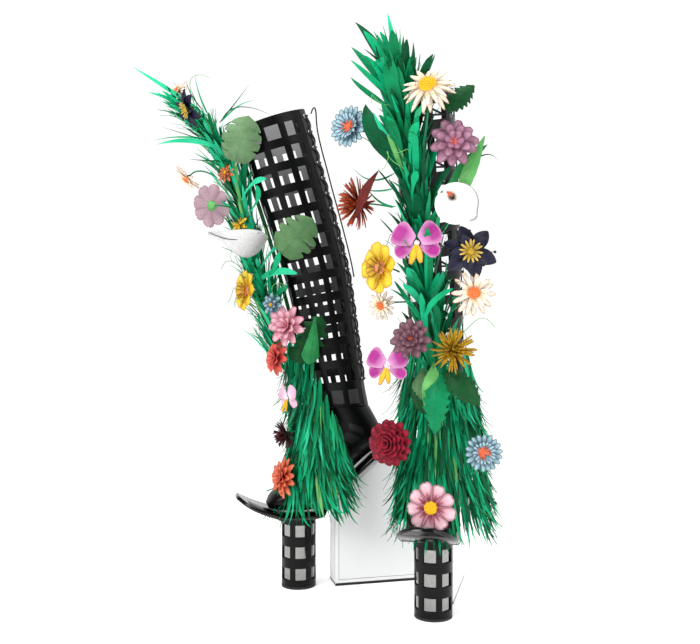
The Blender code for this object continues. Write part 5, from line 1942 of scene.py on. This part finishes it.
# Each leaf is (name, root, tip, face, width, profile, colour).
LEAVES = {
    "left": (
        ("split_leaf_top", (0.118, 0.044, 0.742), (0.096, 0.056, 0.818), (0.15, 0.98, 0.0), 0.066,
         split(ROUND_CUTS, 0.035), "sage_pale"),
        ("split_leaf_low", (0.04, 0.054, 0.586), (-0.012, 0.068, 0.646), (0.1, 0.98, 0.0), 0.07,
         split(ROUND_CUTS, 0.06), "sage"),
        ("dark_leaf", (0.014, 0.05, 0.4), (-0.03, 0.06, 0.478), (0.0, 1.0, 0.0), 0.056,
         split(LOBE_CUTS, 0.08), "forest"),
        ("pointed_leaf", (-0.006, 0.066, 0.396), (-0.016, 0.07, 0.478), (0.1, 0.95, 0.1), 0.031, wedge,
         "leaf"),
    ),
    "right": (
        ("holly_leaf", (0.14, 0.04, 0.77), (0.13, 0.078, 0.806), (0.95, 0.1, 0.1), 0.036, serrated, "forest"),
        ("tall_leaf", (0.11, 0.05, 0.64), (0.12, 0.092, 0.735), (0.9, 0.1, 0.0), 0.02, pointed, "light"),
        ("maroon_leaf", (0.122, -0.097, 0.624), (0.13, -0.062, 0.69), (0.9, -0.2, 0.2), 0.016, pointed,
         "maroon"),
        ("pale_leaf", (0.13, -0.1, 0.735), (0.132, -0.08, 0.775), (0.7, -0.5, 0.0), 0.01, pointed, "light"),
        ("bud_leaf_a", (0.056, -0.012, 0.334), (0.068, -0.004, 0.4), (0.9, -0.3, 0.1), 0.03, pointed, "sage"),
        ("bud_leaf_b", (0.062, 0.0, 0.338), (0.074, 0.012, 0.408), (0.9, 0.4, 0.1), 0.028, pointed, "light"),
        ("bud_leaf_c", (0.06, -0.008, 0.33), (0.058, -0.02, 0.384), (0.95, -0.4, 0.2), 0.026, serrated,
         "forest"),
        ("serrated_low", (0.07, 0.02, 0.39), (0.082, 0.014, 0.302), (0.97, 0.0, 0.2), 0.044, serrated,
         "emerald"),
        ("serrated_side", (0.07, 0.03, 0.395), (0.07, 0.08, 0.345), (0.95, 0.2, 0.3), 0.046, serrated,
         "forest"),
    ),
}


def build_leaves(boot):
    """The broad leaves, each bowed towards the way it faces."""
    for name, root, tip, face, width, profile, kind in LEAVES[boot.side]:
        root, tip = Vector(root), Vector(tip)
        face = Vector(face).normalized()
        bow = face * (tip - root).length * 0.14
        path = []
        for i in range(LEAF_STEPS + 1):
            t = i / LEAF_STEPS
            path.append(boot.point(root.lerp(tip, t) + bow * math.sin(math.pi * t)))
        made = Shape()
        add_leaf(made, path, width, boot.direction(face), kind, profile)
        made.build(f"{boot.side}_{name}", boot.body)


TENDRILS = 16
TENDRIL_SEEDS = {"left": 31, "right": 41}
TENDRIL_STEPS = 30


def build_tendrils(boot):
    """Curly wire ends wrapped in leather."""
    draw = random.Random(TENDRIL_SEEDS[boot.side])
    made = Shape()
    for _ in range(TENDRILS):
        share = draw.uniform(0.05, 0.85)
        here, tangent = garland_place(boot, share)
        out = around(tangent, math.radians(draw.uniform(-120.0, 120.0)))
        other = tangent.cross(out)
        length = draw.uniform(0.05, 0.11)
        curls = draw.uniform(0.7, 1.5)
        path = []
        for i in range(TENDRIL_STEPS):
            t = i / (TENDRIL_STEPS - 1)
            turn = curls * 2 * math.pi * t
            coil = 0.01 * t
            place = here + out * (0.012 + length * t * 0.8) + tangent * length * 0.4 * math.sin(t * 2.2)
            path.append(boot.point(place + (other * math.sin(turn) + tangent * math.cos(turn)) * coil))
        kind = pick(draw, {"light": 3, "forest": 2, "emerald": 1})
        radii = [0.0008 - 0.0004 * i / (TENDRIL_STEPS - 1) for i in range(TENDRIL_STEPS)]
        made.add(*tube(path, radii, 5), kind)
    made.build(f"{boot.side}_tendrils", boot.body)


# ---------------------------------------------------------------- CAD pieces that keep their shape
KEPT = {
    "post_tread": "rubber", "post_core": "tube", "post_bolt": "steel", "shank": "steel",
    "footbed": "footbed", "block_core": "board", "block_base": "patent",
}


def dress_kept():
    """Gives the CAD pieces that are shown as they are their materials."""
    for side in BOOTS:
        for name, kind in KEPT.items():
            node = frame["nodes"][f"{side}_{name}"]
            node.data.materials.clear()
            node.data.materials.append(MATERIALS[kind])


def main():
    add_stage()
    build_loose_lace(BOOTS["left"])
    for boot in BOOTS.values():
        build_lacing(boot)
        build_shaft(boot)
        build_post(boot)
        build_sole(boot)
        build_block(boot)
        build_upper(boot)
        build_spine(boot)
        build_plume(boot)
        build_skirt(boot)
        build_leaves(boot)
        build_tendrils(boot)
    for boot in BOOTS.values():
        build_flowers(boot)
    dress_kept()


main()
